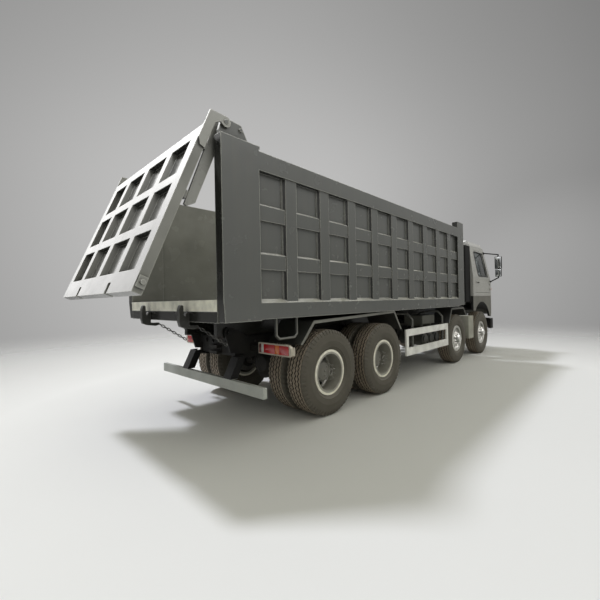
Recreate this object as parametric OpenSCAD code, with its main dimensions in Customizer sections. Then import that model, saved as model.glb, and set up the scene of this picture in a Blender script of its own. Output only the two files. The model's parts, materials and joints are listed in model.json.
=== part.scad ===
// Four-axle tipper truck with a ribbed box bed and an open top-hung tailgate.
// Millimetres, +X forward, +Y left, +Z up; the ground is z = 0.
// Lengths along X are counted from the rearmost axle and shifted to the middle at the end.

/* [Wheels] */
// outside diameter of every tyre
tyre_d = 1125; // [1060:5:1180]
// section width of every tyre
tyre_w = 310; // [280:5:330]
// diameter of the rim where the tyre sits
rim_d = 508; // [480:2:530]
// width of a rim over its flanges
rim_w = 244; // [220:2:256]
// gap between twinned tyres
twin_gap = 40; // [30:1:55]
// distance between the middles of left and right front tyres
front_track = 2010; // [1960:5:2060]
// gap between the frame and the inner twin tyres
rear_gap = 155; // [140:1:170]

/* [Axles] */
// distance between the two rear axles
rear_spread = 1350; // [1300:5:1450]
// distance from the front rear axle to the second steered axle
mid_base = 3436; // [3200:5:3800]
// distance between the two steered axles
front_spread = 1800; // [1750:5:2000]
// distance of each steering pivot inside its tyre's middle
kingpin_set = 240; // [230:1:250]
// largest turn of the first steered wheels, in degrees
steer_lock = 35; // [28:1:38]
// half length of a front leaf spring
spring_half = 740; // [700:5:760]
// radius of the driven axles' tubes
axle_r = 70; // [60:1:72]

/* [Frame] */
// height of the frame's upper face above the wheels' axles
frame_up = 497.5; // [480:0.5:520]
// depth of each frame rail
frame_h = 280; // [250:5:300]
// width over both frame rails
frame_w = 850; // [820:2:880]
// width of a rail's flanges
rail_flange = 80; // [70:1:90]
// thickness of a rail's web and flanges
rail_t = 13; // [9:0.5:16]
// length of the frame behind the rearmost axle
rear_hang = 950; // [900:5:980]
// height of the bed's rear pivot above the frame
tip_up = 75; // [70:1:85]
// distance of the bed's rear pivot behind the rearmost axle
tip_back = 1050; // [1030:1:1080]
// radius of the bed's pivot pins
tip_r = 30; // [24:1:34]

/* [Equipment] */
// clearance between the side guards and the rear tyres
guard_gap = 237; // [200:1:280]
// width of the side guards' planks
plank_w = 134; // [100:1:150]
// diameter of the air tanks
air_d = 260; // [220:5:270]
// height of the underrun bar's lower edge
underrun_z = 456; // [430:1:470]
// section height of the underrun bar
underrun_h = 122; // [90:1:130]
// length of each rear lamp
lamp_l = 595; // [540:5:620]
// height of each rear lamp
lamp_h = 140; // [120:2:160]

/* [Bed] */
// width of the bed outside
bed_w = 2500; // [2400:5:2550]
// height of the bed floor's upper face above the frame
floor_up = 440; // [420:1:470]
// height of the side walls above the floor
wall_h = 1610; // [1400:5:1700]
// depth of the panels between the ribs of the side walls
panel_in = 60; // [50:1:70]
// how far the ribs stand back from the posts
rib_set = 16; // [8:1:20]
// how far the rails between stand back from the posts
mid_set = 28; // [20:1:36]
// thickness of the side walls' sheet
sheet_t = 40; // [30:1:45]
// number of upright ribs on each side wall
rib_count = 9; // [7:1:10]
// width of each upright rib
rib_w = 175; // [140:5:190]
// width that a rib gains from its face to the sheet, on each flank
rib_flare = 22; // [10:1:30]
// width of the panels beside the posts
end_panel = 395; // [360:5:420]
// height of the top rail
top_rail_h = 202; // [170:2:220]
// height of the rails between
mid_rail_h = 167; // [140:1:180]
// distance of the bed's rear face behind the rearmost axle
bed_back = 1640; // [1600:2:1680]
// distance of the bed's front face ahead of the second steered axle
bed_lead = 194; // [150:2:220]
// length of the rear posts
rear_post = 470; // [420:2:500]
// length of the front posts
front_post = 360; // [320:2:400]
// thickness of the posts
post_t = 120; // [110:1:130]

/* [Tailgate] */
// thickness of the tailgate
gate_t = 88; // [78:1:92]
// how far the closed tailgate's lower edge hangs below the floor
gate_drop = 109; // [100:1:120]
// how far the tailgate stands open
gate_open = 23; // [18:0.5:28]
// distance of the tailgate's edge inside the bed's outer face
gate_edge = 55; // [50:1:60]
// depth of the tailgate's panels
gate_in = 56; // [40:1:64]
// width of the tailgate's inner bars
gate_bar = 120; // [90:2:130]
// radius of the tailgate's hinge pins
gate_pin_r = 26; // [20:1:28]

/* [Hoist] */
// outside diameter of the hoist's barrel
hoist_d = 210; // [190:2:214]
// distance of the hoist ahead of the bed
hoist_lead = 380; // [370:2:400]
// distance of the hoist's eye below the walls' upper edge
eye_drop = 160; // [140:2:180]
// wall of the barrel and of each hollow stage
hoist_wall = 14; // [10:1:15]

/* [Cab] */
// width of the cab
cab_w = 2340; // [2280:5:2400]
// distance of the cab's back behind the first steered axle
cab_set = 686; // [660:2:700]
// length of the cab's side
cab_side_len = 1500; // [1450:2:1560]
// length of the rounded nose ahead of the side
nose_len = 260; // [220:2:280]
// height of the cab's floor above the frame
cab_up = 540; // [520:1:560]
// height of the window line above the floor
belt_up = 450; // [430:1:470]
// height of the windows
window_h = 800; // [760:2:830]
// height of the roof's crown
roof_h = 190; // [160:2:210]
// thickness of the cab's walls and doors
cab_t = 50; // [40:1:56]
// inward lean of the cab's windows
lean = 6; // [4:0.5:7]
// distance of the bumper's front ahead of the nose
bumper_lead = 140; // [110:2:160]
// height of the bumper
bumper_h = 280; // [240:2:300]

/* [Hidden] */
$fn = 48;
fit_gap = 0.3;
move_gap = 6;
eps = 1;

tyre_r = tyre_d / 2;
axle_z = tyre_r;
rim_r = rim_d / 2;
rim_t = 12;
rim_in = rim_r - rim_t;
rim_half = rim_w / 2;
flange_r = rim_r + 43;
drum_r = rim_in - 42;
spindle_r = 44;
hub_r = 95;
twin_pitch = tyre_w + twin_gap;

r2_x = 0;
r1_x = rear_spread;
a2_x = r1_x + mid_base;
a1_x = a2_x + front_spread;
trunnion_x = rear_spread / 2;
frame_top = axle_z + frame_up;
frame_bot = frame_top - frame_h;
rail_out = frame_w / 2;
rail_in = rail_out - rail_flange;
frame_rear = -rear_hang;
front_y = front_track / 2;
kingpin_y = front_y - kingpin_set;
twin_y = rail_out + rear_gap + tyre_w + twin_gap / 2;
// how far a turned front tyre reaches from its steering pivot along the truck
steer_reach = tyre_r * cos(steer_lock) + (kingpin_set + tyre_w / 2) * sin(steer_lock);

tip_z = frame_top + tip_up;
floor_z = frame_top + floor_up;
wall_top = floor_z + wall_h;
floor_t = 12;
sill_z = floor_z - 183;
bed_front_x = a2_x + bed_lead;
bed_y = bed_w / 2;
sheet_out = bed_y - panel_in;
sheet_in = sheet_out - sheet_t;
post_in = bed_y - post_t;
post_top = wall_top + 20;
cap_t = 30;
post_front = rear_post - bed_back;
front_post_x = bed_front_x - front_post;

gate_half = bed_y - gate_edge;
gate_pin_x = 90 - bed_back;
gate_pin_z = wall_top + 184;
gate_inner = -90 - move_gap + 1;
gate_outer = gate_inner - gate_t;
gate_top = -181;
gate_low = floor_z - gate_drop - gate_pin_z;
gate_h = gate_top - gate_low;
arm_t = 22;
hook_y = 520;
hook_t = 56;

hoist_x = bed_front_x + hoist_lead;
hoist_z = frame_top - 110;
hoist_len = wall_top - eye_drop - hoist_z;
barrel_tail = 60;
recess_half = hoist_d / 2 + 95;
recess_t = 40;
recess_x = bed_front_x - 290;

cab_y = cab_w / 2;
cab_back_x = a1_x - cab_set;
cab_front_x = cab_back_x + cab_side_len;
nose_x = cab_front_x + nose_len;
nose_side = 320;
bumper_x = nose_x + bumper_lead;
// the frame ends behind the bumper, and ahead of the first axle's springs
frame_front = max(bumper_x - 420, a1_x + spring_half + 12);
floor_cab = frame_top + cab_up;
cab_low = floor_cab - cab_t;
belt_z = floor_cab + belt_up;
eave_z = belt_z + window_h;
tilt_x = nose_x - 110;
tilt_z = frame_top - 60;
bumper_top = frame_top - 160;
bumper_low = bumper_top - bumper_h;

x_tail = gate_pin_x + gate_outer * cos(gate_open) + gate_low * sin(gate_open);
mid_x = (x_tail + bumper_x) / 2;

// bay between the rear tyres and the second steered wheels
bay_lo = r1_x + tyre_r + guard_gap;
bay_hi = a2_x - steer_reach - 29;
hanger_x = [bay_lo + 376, bay_hi - 138];

// steered wheels: name, axle position and side
steered = [["1_left", a1_x, 1], ["1_right", a1_x, -1], ["2_left", a2_x, 1], ["2_right", a2_x, -1]];
// driven twin wheels: name, axle position and side
driven = [["3_left", r1_x, 1], ["3_right", r1_x, -1], ["4_left", r2_x, 1], ["4_right", r2_x, -1]];
// columns of the tables above
at_x = 1;
side = 2;

bed_grey = [0.38, 0.37, 0.35];
cab_grey = [0.66, 0.66, 0.63];
dark = [0.12, 0.12, 0.13];
black = [0.07, 0.07, 0.07];
pane = [0.3, 0.35, 0.38, 0.6];

// a value between a and b
function mix(a, b, share) = a + (b - a) * share;

// points of an arc about c, from angle a0 to a1 in n steps
function arc(c, r, a0, a1, n) = [for (k = [0 : n]) let (a = mix(a0, a1, k / n)) c + r * [cos(a), sin(a)]];

// rectangle between two corners with rounded corners of radius r
function round_box(lo, hi, r) = concat(
  arc([hi.x - r, hi.y - r], r, 0, 90, 4), arc([lo.x + r, hi.y - r], r, 90, 180, 4),
  arc([lo.x + r, lo.y + r], r, 180, 270, 4), arc([hi.x - r, lo.y + r], r, 270, 360, 4));

module seat() { translate([-mid_x, 0, 0]) children(); }

// a box between two corners
module block(a, b) { translate(a) cube(b - a); }

// both sides of the truck
module both() {
  children();
  mirror([0, 1, 0]) children();
}

// the given side of the truck, 1 left and -1 right
module on_side(s) {
  if (s > 0) children();
  else mirror([0, 1, 0]) children();
}

// a plate drawn in the X-Z plane, reaching from y0 to y1
module side_plate(y0, y1, outline) {
  translate([0, y1, 0]) rotate([90, 0, 0]) linear_extrude(y1 - y0) polygon(outline);
}

// a bar drawn in the Y-Z plane, reaching from x0 to x1
module cross_bar(x0, x1, outline) {
  translate([x0, 0, 0]) rotate([90, 0, 90]) linear_extrude(x1 - x0) polygon(outline);
}

// a slab drawn in the X-Y plane, reaching from z0 to z1
module slab(z0, z1, outline) { translate([0, 0, z0]) linear_extrude(z1 - z0) polygon(outline); }

// a round bar along Y
module pin_y(x, z, r, y0, y1) {
  translate([x, y1, z]) rotate([90, 0, 0]) cylinder(r = r, h = y1 - y0);
}

// a round bar between two points
module rod(a, b, r) {
  d = b - a;
  flat = norm([d.x, d.y]);
  translate(a) rotate([0, atan2(flat, d.z), atan2(d.y, d.x)]) cylinder(r = r, h = norm(d));
}

// a bent tube through a list of points, with a ball in each bend
module tube(path, r) {
  ball = 1.03 * r;
  for (i = [0 : len(path) - 2]) rod(path[i], path[i + 1], r);
  for (i = [1 : len(path) - 2]) translate(path[i]) sphere(r = ball);
}

// the wheel's axle points outward along local Z
module at_wheel(x, y, s) {
  on_side(s) translate([x, y, axle_z]) rotate([-90, 0, 0]) children();
}

// profile of one tyre about its axle, moved by w along the axle
module tyre_ring(w) {
  h = tyre_w / 2;
  bead = rim_half - rim_t - 1;
  heel = flange_r + 4;
  bulge = mix(rim_r, tyre_r, 0.47);
  shoulder = mix(rim_r, tyre_r, 0.88);
  low = mix(heel, bulge, 0.45);
  high = mix(bulge, shoulder, 0.55);
  half = [[rim_r + fit_gap, bead], [heel, bead], [low, h - 16], [bulge, h], [high, h - 4],
    [shoulder, h - 22], [tyre_r, h - 40]];
  n = len(half) - 1;
  rotate_extrude() polygon(concat([for (k = [0 : n]) [half[k].x, w - half[k].y]],
    [for (k = [n : -1 : 0]) [half[k].x, w + half[k].y]]));
}

module steered_tyre(i) { at_wheel(steered[i][at_x], front_y, steered[i][side]) tyre_ring(0); }

module driven_tyres(i) {
  at_wheel(driven[i][at_x], twin_y, driven[i][side]) {
    tyre_ring(twin_pitch / 2);
    tyre_ring(-twin_pitch / 2);
  }
}

drum_in = 150;
hub_inside = 140;
hub_end = 190;
disc_t = 16;
hand_holes = 10;

// rim, hub and brake drum of a steered wheel
module steered_rim(i) {
  h = rim_half;
  bolt_r = mix(hub_r, rim_in, 0.374);
  disc = 88;
  edge = 58;
  at_wheel(steered[i][at_x], front_y, steered[i][side]) difference() {
    rotate_extrude() polygon([
      [spindle_r + fit_gap, -drum_in], [drum_r, -drum_in], [drum_r, -20], [hub_r, -10], [hub_r, disc],
      [bolt_r, disc], [rim_in, edge], [rim_in, -h], [flange_r, -h], [flange_r, rim_t - h],
      [rim_r, rim_t - h], [rim_r, h - rim_t], [flange_r, h - rim_t], [flange_r, h], [rim_in, h],
      [rim_in, edge + disc_t + 2], [bolt_r, disc + disc_t], [hub_r, disc + disc_t], [hub_r, hub_end - 25],
      [hub_r - 25, hub_end], [0, hub_end], [0, hub_inside], [spindle_r + fit_gap, hub_inside]]);
    for (k = [0 : hand_holes - 1])
      rotate([0, 0, 360 / hand_holes * k]) translate([mix(hub_r, rim_in, 0.687), 0, edge - 20])
        cylinder(d = 62, h = 80, $fn = 24);
  }
}

// both rims, hub and brake drum of a driven twin wheel
module driven_rim(i) {
  h = rim_half;
  p = twin_pitch / 2;
  hub = axle_r + 42;
  bolt_r = mix(hub, rim_in, 0.292);
  bend_r = mix(hub, rim_in, 0.46);
  dish_r = mix(hub, rim_in, 0.51);
  in = p - h + 39;
  at_wheel(driven[i][at_x], twin_y, driven[i][side]) difference() {
    rotate_extrude() polygon([
      [axle_r + fit_gap, -p - 145], [drum_r, -p - 145], [drum_r, -60], [bolt_r, -40], [bolt_r, -disc_t],
      [bend_r, -disc_t], [rim_in, -in], [rim_in, -p - h], [flange_r, -p - h], [flange_r, rim_t - p - h],
      [rim_r, rim_t - p - h], [rim_r, h - rim_t - p], [flange_r, h - rim_t - p], [flange_r, h - p],
      [rim_in, h - p], [rim_in, h - p - 13], [dish_r, -2], [dish_r, 2], [rim_in, p - h + 13],
      [rim_in, p - h], [flange_r, p - h], [flange_r, p - h + rim_t], [rim_r, p - h + rim_t],
      [rim_r, p + h - rim_t], [flange_r, p + h - rim_t], [flange_r, p + h], [rim_in, p + h], [rim_in, in],
      [bend_r, disc_t], [bolt_r, disc_t], [bolt_r, 40], [hub, 46], [hub, p - 15], [hub + 16, p - 15],
      [hub + 16, p + 3], [hub - 52, p + 21], [0, p + 21], [0, 100], [axle_r + fit_gap, 100]]);
    for (k = [0 : 7])
      rotate([0, 0, 45 * k + 22.5]) translate([mix(hub, rim_in, 0.73), 0, -p])
        cylinder(d = 52, h = twin_pitch, $fn = 24);
  }
}

// steering knuckle: fork, backing plate, spindle and steering arm
module knuckle(i) {
  x = steered[i][at_x];
  plate_y = front_y - drum_in - move_gap;
  reach = plate_y - kingpin_y;
  tip = front_y + hub_inside - move_gap - kingpin_y;
  eye_r = 58;
  eye_h = 40;
  pin_half = 118;
  color("dimgray") seat() on_side(steered[i][side]) translate([x, kingpin_y, axle_z]) {
    for (z = [-eye_h - 72, 72]) {
      translate([0, 0, z]) cylinder(r = eye_r, h = eye_h);
      block([-eye_r, 0, z], [eye_r, reach, z + eye_h]);
    }
    translate([0, 0, -pin_half]) cylinder(r = kingpin_r, h = 2 * pin_half);
    translate([0, reach, 0]) rotate([90, 0, 0]) cylinder(r = drum_r - 15, h = disc_t);
    translate([0, tip, 0]) rotate([90, 0, 0]) cylinder(r = spindle_r, h = tip - reach + 8);
    // steering arm
    block([-190, -60, -eye_h - 72], [0, -20, -84]);
  }
}

kingpin_r = 24;

module rim_front(i) { color("silver") seat() steered_rim(i); }

module rim_rear(i) { color("silver") seat() driven_rim(i); }

module tyre_front(i) { color([0.1, 0.1, 0.1]) seat() steered_tyre(i); }

module tyre_rear(i) { color([0.1, 0.1, 0.1]) seat() driven_tyres(i); }

// one channel rail, open towards the middle
module rail() {
  difference() {
    block([frame_rear, rail_in, frame_bot], [frame_front, rail_out, frame_top]);
    block([frame_rear - eps, rail_in - eps, frame_bot + rail_t],
      [frame_front + eps, rail_out - rail_t, frame_top - rail_t]);
  }
}

web_in = rail_out - rail_t;
plate_t = 24;
hanger_h = 62;
saddle_z = axle_z + 69.5;
trunnion_half = 110;
lamp_x = frame_rear + 240;
lamp_z = frame_bot + 75;
lamp_out = bed_y;

// crossmember positions along the frame
cross_x = [frame_rear + 60, trunnion_x, bay_lo - 100, mix(bay_lo, bay_hi, 0.6), bay_hi + 230,
  bed_front_x + 100, frame_front - 60];

// outline of the bracket that carries the bed's pivot at the frame's end
function pivot_plate() = concat(arc([-tip_back, tip_z], 2.1 * tip_r, 200, 60, 6),
  [[frame_rear + 190, frame_top], [frame_rear + 190, frame_bot + 60], [-tip_back + 20, frame_bot + 90]]);

module chassis_frame() {
  rest_x = cab_back_x + 80;
  color(dark) seat() {
    both() {
      rail();
      side_plate(rail_out, rail_out + plate_t, pivot_plate());
      pin_y(-tip_back, tip_z, tip_r, rail_in + 12, rail_out + plate_t + 26);
      // lamp bracket
      block([lamp_x, rail_out + plate_t, lamp_z + 10], [lamp_x + plate_t, lamp_out - 70, lamp_z + 90]);
      block([lamp_x, rail_out, lamp_z + 10], [lamp_x + 100, rail_out + plate_t, lamp_z + 90]);
      // spring hangers of the steered axles
      for (x = [a1_x, a2_x], e = [-1, 1])
        block([x + e * (spring_half - 36) - 36, rail_in + 15, frame_bot - hanger_h],
          [x + e * (spring_half - 36) + 36, rail_out, frame_bot]);
      // trunnion bracket of the rear springs
      block([trunnion_x - trunnion_half, rail_in - 42, saddle_z - 132],
        [trunnion_x + trunnion_half, rail_in - 6, frame_top - 20]);
      block([trunnion_x - trunnion_half, rail_in - 42, saddle_z - 132],
        [trunnion_x + trunnion_half, rail_out + 10, saddle_z]);
      block([trunnion_x - trunnion_half, rail_in - 8, frame_bot + rail_t],
        [trunnion_x + trunnion_half, web_in, frame_bot + 40]);
      // hoist bracket
      block([hoist_x - 90, hoist_d / 2 + bracket_gap, hoist_z - hoist_seat],
        [hoist_x + 90, hoist_d / 2 + bracket_gap + 28, hoist_z + 70]);
      // cab hinge bracket and cab rest
      side_plate(rail_out, rail_out + plate_t, concat([[frame_front - 200, frame_bot + 40],
        [frame_front, frame_bot + 40]], arc([tilt_x, tilt_z], 40, -60, 120, 6), [[frame_front - 200, frame_top]]));
      pin_y(tilt_x, tilt_z, tilt_r, rail_out - 46, rail_out + plate_t);
      block([rest_x, rail_in, frame_top], [rest_x + 80, rail_out, cab_low - move_gap]);
      // towing lug under the front end
      difference() {
        block([frame_front - 44, rail_in + 14, frame_bot - 200], [frame_front - 4, rail_out - 14, frame_bot]);
        translate([frame_front - 60, (rail_in + rail_out) / 2, frame_bot - 150]) rotate([0, 90, 0])
          cylinder(r = 18, h = 80);
      }
    }
    for (x = cross_x) block([x - 40, -web_in, frame_bot + 30], [x + 40, web_in, frame_top - 60]);
    // hoist beam
    block([hoist_x - 90, -web_in, hoist_z - hoist_seat - 44], [hoist_x + 90, web_in, hoist_z - hoist_seat]);
    // rear towing jaw
    difference() {
      block([frame_rear - 60, -90, frame_bot + 40], [frame_rear + 20, 90, frame_bot + 160]);
      translate([frame_rear - 20, 0, frame_bot]) cylinder(d = tow_d, h = 240);
      block([frame_rear - 70, -100, frame_bot + 80], [frame_rear + 10, 100, frame_bot + 120]);
    }
    // rear end plate with lightening holes
    difference() {
      block([frame_rear, -web_in, frame_bot + 160], [frame_rear + 14, web_in, frame_top - rail_t]);
      for (y = [-240, -80, 80, 240]) translate([frame_rear - eps, y, frame_top - 66]) rotate([0, 90, 0])
        cylinder(r = 32, h = 20);
    }
  }
}

tow_d = 40;
tilt_r = 20;
// clear height under the hoist's pivot for the barrel's lower end to swing
hoist_seat = norm([barrel_tail, hoist_d / 2]) + move_gap;

module front_axles() {
  beam = 45;
  deep = 110;
  end_h = 118;
  neck = kingpin_y - 165;
  drop = kingpin_y - 265;
  color("dimgray") seat() for (x = [a2_x, a1_x]) {
    difference() {
      union() {
        cross_bar(x - beam, x + beam, [[-kingpin_y + 35, axle_z - end_h / 2], [-neck, axle_z - end_h / 2],
          [-drop, axle_z - 32 - deep], [drop, axle_z - 32 - deep], [neck, axle_z - end_h / 2],
          [kingpin_y - 35, axle_z - end_h / 2], [kingpin_y - 35, axle_z + end_h / 2],
          [neck, axle_z + end_h / 2], [drop - 20, axle_z - 32], [20 - drop, axle_z - 32],
          [-neck, axle_z + end_h / 2], [-kingpin_y + 35, axle_z + end_h / 2]]);
        both() translate([x, kingpin_y, axle_z - 65]) cylinder(r = 54, h = 130);
        both() block([x - 70, rail_in + 10, axle_z - 60], [x + 70, rail_out + 10, axle_z - 18]);
      }
      both() translate([x, kingpin_y, axle_z - 70]) cylinder(r = kingpin_r + 2 * fit_gap, h = 140);
    }
  }
}

// leaf pack of a steered axle, resting on the beam and hung from the frame
module front_pack(x) {
  z = axle_z - 18;
  t = frame_bot - hanger_h;
  mid = 0.57 * spring_half;
  for (y = [rail_in + 15]) side_plate(y, y + 75, [[x - 90, z], [x + 90, z], [x + mid, z + 66],
    [x + spring_half, t - 18], [x + spring_half, t], [x + mid, z + 110], [x, z + 96], [x - mid, z + 110],
    [x - spring_half, t], [x - spring_half, t - 18], [x - mid, z + 66]]);
}

// leaf pack of the rear bogie, resting on both driven axles
module rear_pack() {
  z = axle_z + 78;
  m = trunnion_x;
  side_plate(rail_in, rail_out + 10, [[-90, z], [90, z], [m - 400, z + 8], [m - trunnion_half, saddle_z],
    [m + trunnion_half, saddle_z], [m + 400, z + 8], [r1_x - 90, z], [r1_x + 90, z], [r1_x + 90, z + 24],
    [m + 300, z + 108], [m + 100, frame_bot - 8], [m - 100, frame_bot - 8], [m - 300, z + 108], [-90, z + 24]]);
}

module leaf_springs() {
  color([0.2, 0.2, 0.2]) seat() both() {
    front_pack(a1_x);
    front_pack(a2_x);
    rear_pack();
  }
}

gearbox_end = cab_back_x - 355;

module rear_axles() {
  shaft_r = 55;
  shaft_z = axle_z + 30;
  arm_y = rail_in - 70;
  color([0.16, 0.16, 0.17]) seat() {
    for (x = [r2_x, r1_x]) {
      pin_y(x, axle_z, axle_r, -twin_y - 92, twin_y + 92);
      translate([x, 0, axle_z]) rotate([0, 90, 0]) {
        translate([0, 0, -130]) cylinder(r = 222, h = 260);
        translate([0, 0, -180]) cylinder(r1 = 120, r2 = 200, h = 60);
        translate([-30, 0, 120]) cylinder(r1 = 170, r2 = 90, h = 190);
      }
      both() block([x - 90, rail_in, axle_z], [x + 90, rail_out + 10, axle_z + 78]);
      // flange of the brake carrier
      both() pin_y(x, axle_z, axle_r + 60, twin_y - twin_pitch / 2 - 191, twin_y - twin_pitch / 2 - 155);
    }
    // drive shafts from the gearbox and between the axles
    rod([r1_x + 300, 0, shaft_z], [gearbox_end - 5, 0, frame_bot - 80], shaft_r);
    rod([r2_x + 300, 0, shaft_z], [r1_x - 120, 0, shaft_z], shaft_r);
    // thrust rods to the trunnion
    for (x = [r2_x + 60, r1_x - 60]) both() rod([x, arm_y, axle_z - 60], [trunnion_x, arm_y, saddle_z - 102], 26);
  }
}

// engine, gearbox and radiator as plain blocks
module engine() {
  e0 = cab_back_x + 60;
  e1 = a1_x + 474;
  half = rail_in - 45;
  color([0.25, 0.27, 0.28]) seat() {
    block([e0, -half, frame_bot - 140], [e1, half, cab_low - 130]);
    block([gearbox_end, -190, frame_bot - 200], [e0, 190, frame_top - 140]);
    block([e1, -half - 30, frame_top - 160], [e1 + 140, half + 30, cab_low - 70]);
    both() block([e0 + 340, half, frame_top - 160], [e0 + 460, web_in, frame_top - 80]);
  }
}

// fuel tank on the left, three air tanks on the right
module tanks() {
  y0 = rail_out + 55;
  y1 = bed_y - 190;
  z0 = frame_bot - 280;
  z1 = frame_top - 60;
  air_z = frame_bot - 100;
  color([0.7, 0.7, 0.7]) seat() {
    cross_bar(bay_lo + 430, bay_hi - 190, round_box([y0, z0], [y1, z1], 90));
    for (x = [bay_lo + 530, bay_hi - 300]) {
      cross_bar(x - 25, x + 25, round_box([y0 - 6, z0 - 6], [y1 + 6, z1 + 6], 96));
      block([x - 30, rail_out, z0 + 300], [x + 30, y0, z1 - 100]);
    }
    // the small cap on the fuel tank
    translate([bay_lo + 640, mix(y0, y1, 0.7), z1 - 10]) cylinder(r = 45, h = 50);
    for (k = [0 : 2]) {
      x = bay_hi - 800 + (air_d + 15) * k;
      pin_y(x, air_z, air_d / 2, -y1 + 30, -y0 - 60);
      pin_y(x, air_z, air_d / 2 - 40, -y1, -y0 - 30);
      block([x - 30, -y0 - 60, air_z + 40], [x + 30, -rail_out, frame_bot + 80]);
    }
  }
}

// boxes between the steered axles, and the battery box over the air tanks
module side_boxes() {
  lo = a2_x + steer_reach + 18;
  hi = a1_x - steer_reach - 16;
  y0 = rail_out + 115;
  y1 = front_y + tyre_w / 2 + 10;
  z0 = frame_bot - 290;
  z1 = frame_top - 10;
  bat = bay_hi - 820;
  color([0.6, 0.6, 0.6]) seat() {
    both() {
      // the box with its outer edges rounded
      slab(z0, z1, concat([[lo, y0], [hi, y0]], arc([hi - 60, y1 - 60], 60, 0, 90, 4),
        arc([lo + 20, y1 - 20], 20, 90, 180, 3)));
      block([lo + 120, rail_out, z1 - 190], [hi - 120, y0, z1 - 110]);
    }
    // battery box on its two arms
    slab(frame_bot + 200, frame_bot + 377, round_box([bat, -bed_y + 250], [bat + 600, -rail_out - 165], 20));
    for (x = [bat + 100, bat + 500])
      block([x - 30, -bed_y + 300, frame_bot + 160], [x + 30, -rail_out, frame_bot + 200]);
  }
}

guard_y = bed_y - 50;
guard_t = 30;

// side guards on their bent hangers
module guard_rails() {
  z0 = frame_bot - 290;
  z1 = frame_top - 100;
  r = 20;
  y = guard_y - guard_t - 2 * r;
  color([0.75, 0.75, 0.75]) seat() both() {
    difference() {
      block([bay_lo, guard_y - guard_t, z0], [bay_hi, guard_y, z1]);
      block([bay_lo + 90, guard_y - guard_t - eps, z0 + plank_w], [bay_hi - 90, guard_y + eps, z1 - plank_w + 12]);
    }
    for (x = hanger_x) {
      tube([[x, rail_out + 15, frame_top - 60], [x, rail_out + 215, frame_top + 130], [x, y - 300, frame_top + 165],
        [x, y - 100, frame_top + 165], [x, y, frame_top + 60], [x, y, z0 + 70]], r);
      for (z = [z0 + 70, z1 - 60]) block([x - r, y - 5, z - 25], [x + r, guard_y - guard_t + eps, z + 25]);
      block([x - 40, rail_out, frame_top - 100], [x + 40, rail_out + 20, frame_top - 10]);
    }
  }
}

// rear underrun bar on two channel stays bolted outside the frame
module underrun() {
  top = underrun_z + underrun_h;
  back = frame_rear - 200;
  y0 = rail_out + plate_t + fit_gap;
  y1 = y0 + 150;
  web = 14;
  bar = 50;
  z0 = top - eps;
  z1 = frame_bot + 48;
  slant = [[back + 110, z0], [back, z0], [back + 130, z1], [back + 240, z1]];
  color([0.62, 0.62, 0.58]) seat() {
    cross_bar(back, back + bar, round_box([-bed_y + 25, underrun_z], [bed_y - 25, top], 8));
    both() {
      side_plate(y0, y0 + web, slant);
      side_plate(y1 - web, y1, slant);
      side_plate(y0, y1, [[back + web, z0], [back, z0], [back + 130, z1], [back + 130 + web, z1]]);
      // fixing plate against the rail
      block([frame_rear + 20, rail_out + fit_gap, frame_bot + 4], [frame_rear + 120, y0 + web, frame_bot + 48]);
    }
  }
}

// lamp bodies behind the bed, each with a rounded outer end
module rear_lamps() {
  y0 = lamp_out - lamp_l;
  color("red") seat() both() {
    difference() {
      cross_bar(lamp_x - 40, lamp_x, concat([[y0, lamp_z], [lamp_out - 40, lamp_z]],
        arc([lamp_out - 40, lamp_z + 40], 40, -90, 0, 4), [[lamp_out, lamp_z + lamp_h - 70]],
        arc([lamp_out - 70, lamp_z + lamp_h - 70], 70, 0, 90, 4), [[y0, lamp_z + lamp_h]]));
      block([lamp_x - 50, y0 + 12, lamp_z + 14], [lamp_x - 34, lamp_out - 40, lamp_z + lamp_h - 14]);
    }
    block([lamp_x, lamp_out - 60, lamp_z + 10], [lamp_x + plate_t, lamp_out, lamp_z + lamp_h - 30]);
  }
}

// guards over the second steered axle's wheels, hung from the frame
module axle_mudguards() {
  x0 = a2_x - 636;
  x1 = a2_x + 464;
  z0 = frame_top - 105;
  z1 = sill_z - 43;
  t = 12;
  lip = 28;
  y0 = front_y - 175;
  y1 = front_y + 185;
  skin = [[x0, z0 + 5], [x0 + t, z0], [x0 + 190, z1], [x1 - 160, z1], [x1 - t, z0 + 135], [x1, z0 + 140],
    [x1 - 150, z1 + t], [x0 + 180, z1 + t]];
  inner = [[x0 + t, z0], [x0 + t + lip, z0], [x0 + 190 + lip / 2, z1 - lip], [x1 - 160 - lip / 2, z1 - lip],
    [x1 - t - lip, z0 + 135], [x1 - t, z0 + 135], [x1 - 160, z1], [x0 + 190, z1]];
  color([0.1, 0.1, 0.1]) seat() both() {
    side_plate(y0, y1, skin);
    side_plate(y1 - t, y1, inner);
    for (x = [x0 + 350, x1 - 290])
      tube([[x, rail_out, frame_top - 60], [x, y0 - 190, frame_top - 60], [x, y0 + 24, z1 - 4]], 22);
  }
}

// outer outline of the bumper seen from above, moved in by i
function bumper_form(i) = let (
  x0 = a1_x + steer_reach + 27, y = cab_y + 10, cx = bumper_x - mix(x0, bumper_x, 0.36))
  concat([[x0, y - i]], [for (k = [0 : 6]) let (a = 15 * k)
    [bumper_x - cx + (cx - i) * sin(a), y - 350 + (350 - i) * cos(a)]],
  [for (k = [6 : -1 : 0]) let (a = 15 * k) [bumper_x - cx + (cx - i) * sin(a), -y + 350 - (350 - i) * cos(a)]],
  [[x0, i - y]]);

lamp_hole = [480, 800];

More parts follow.
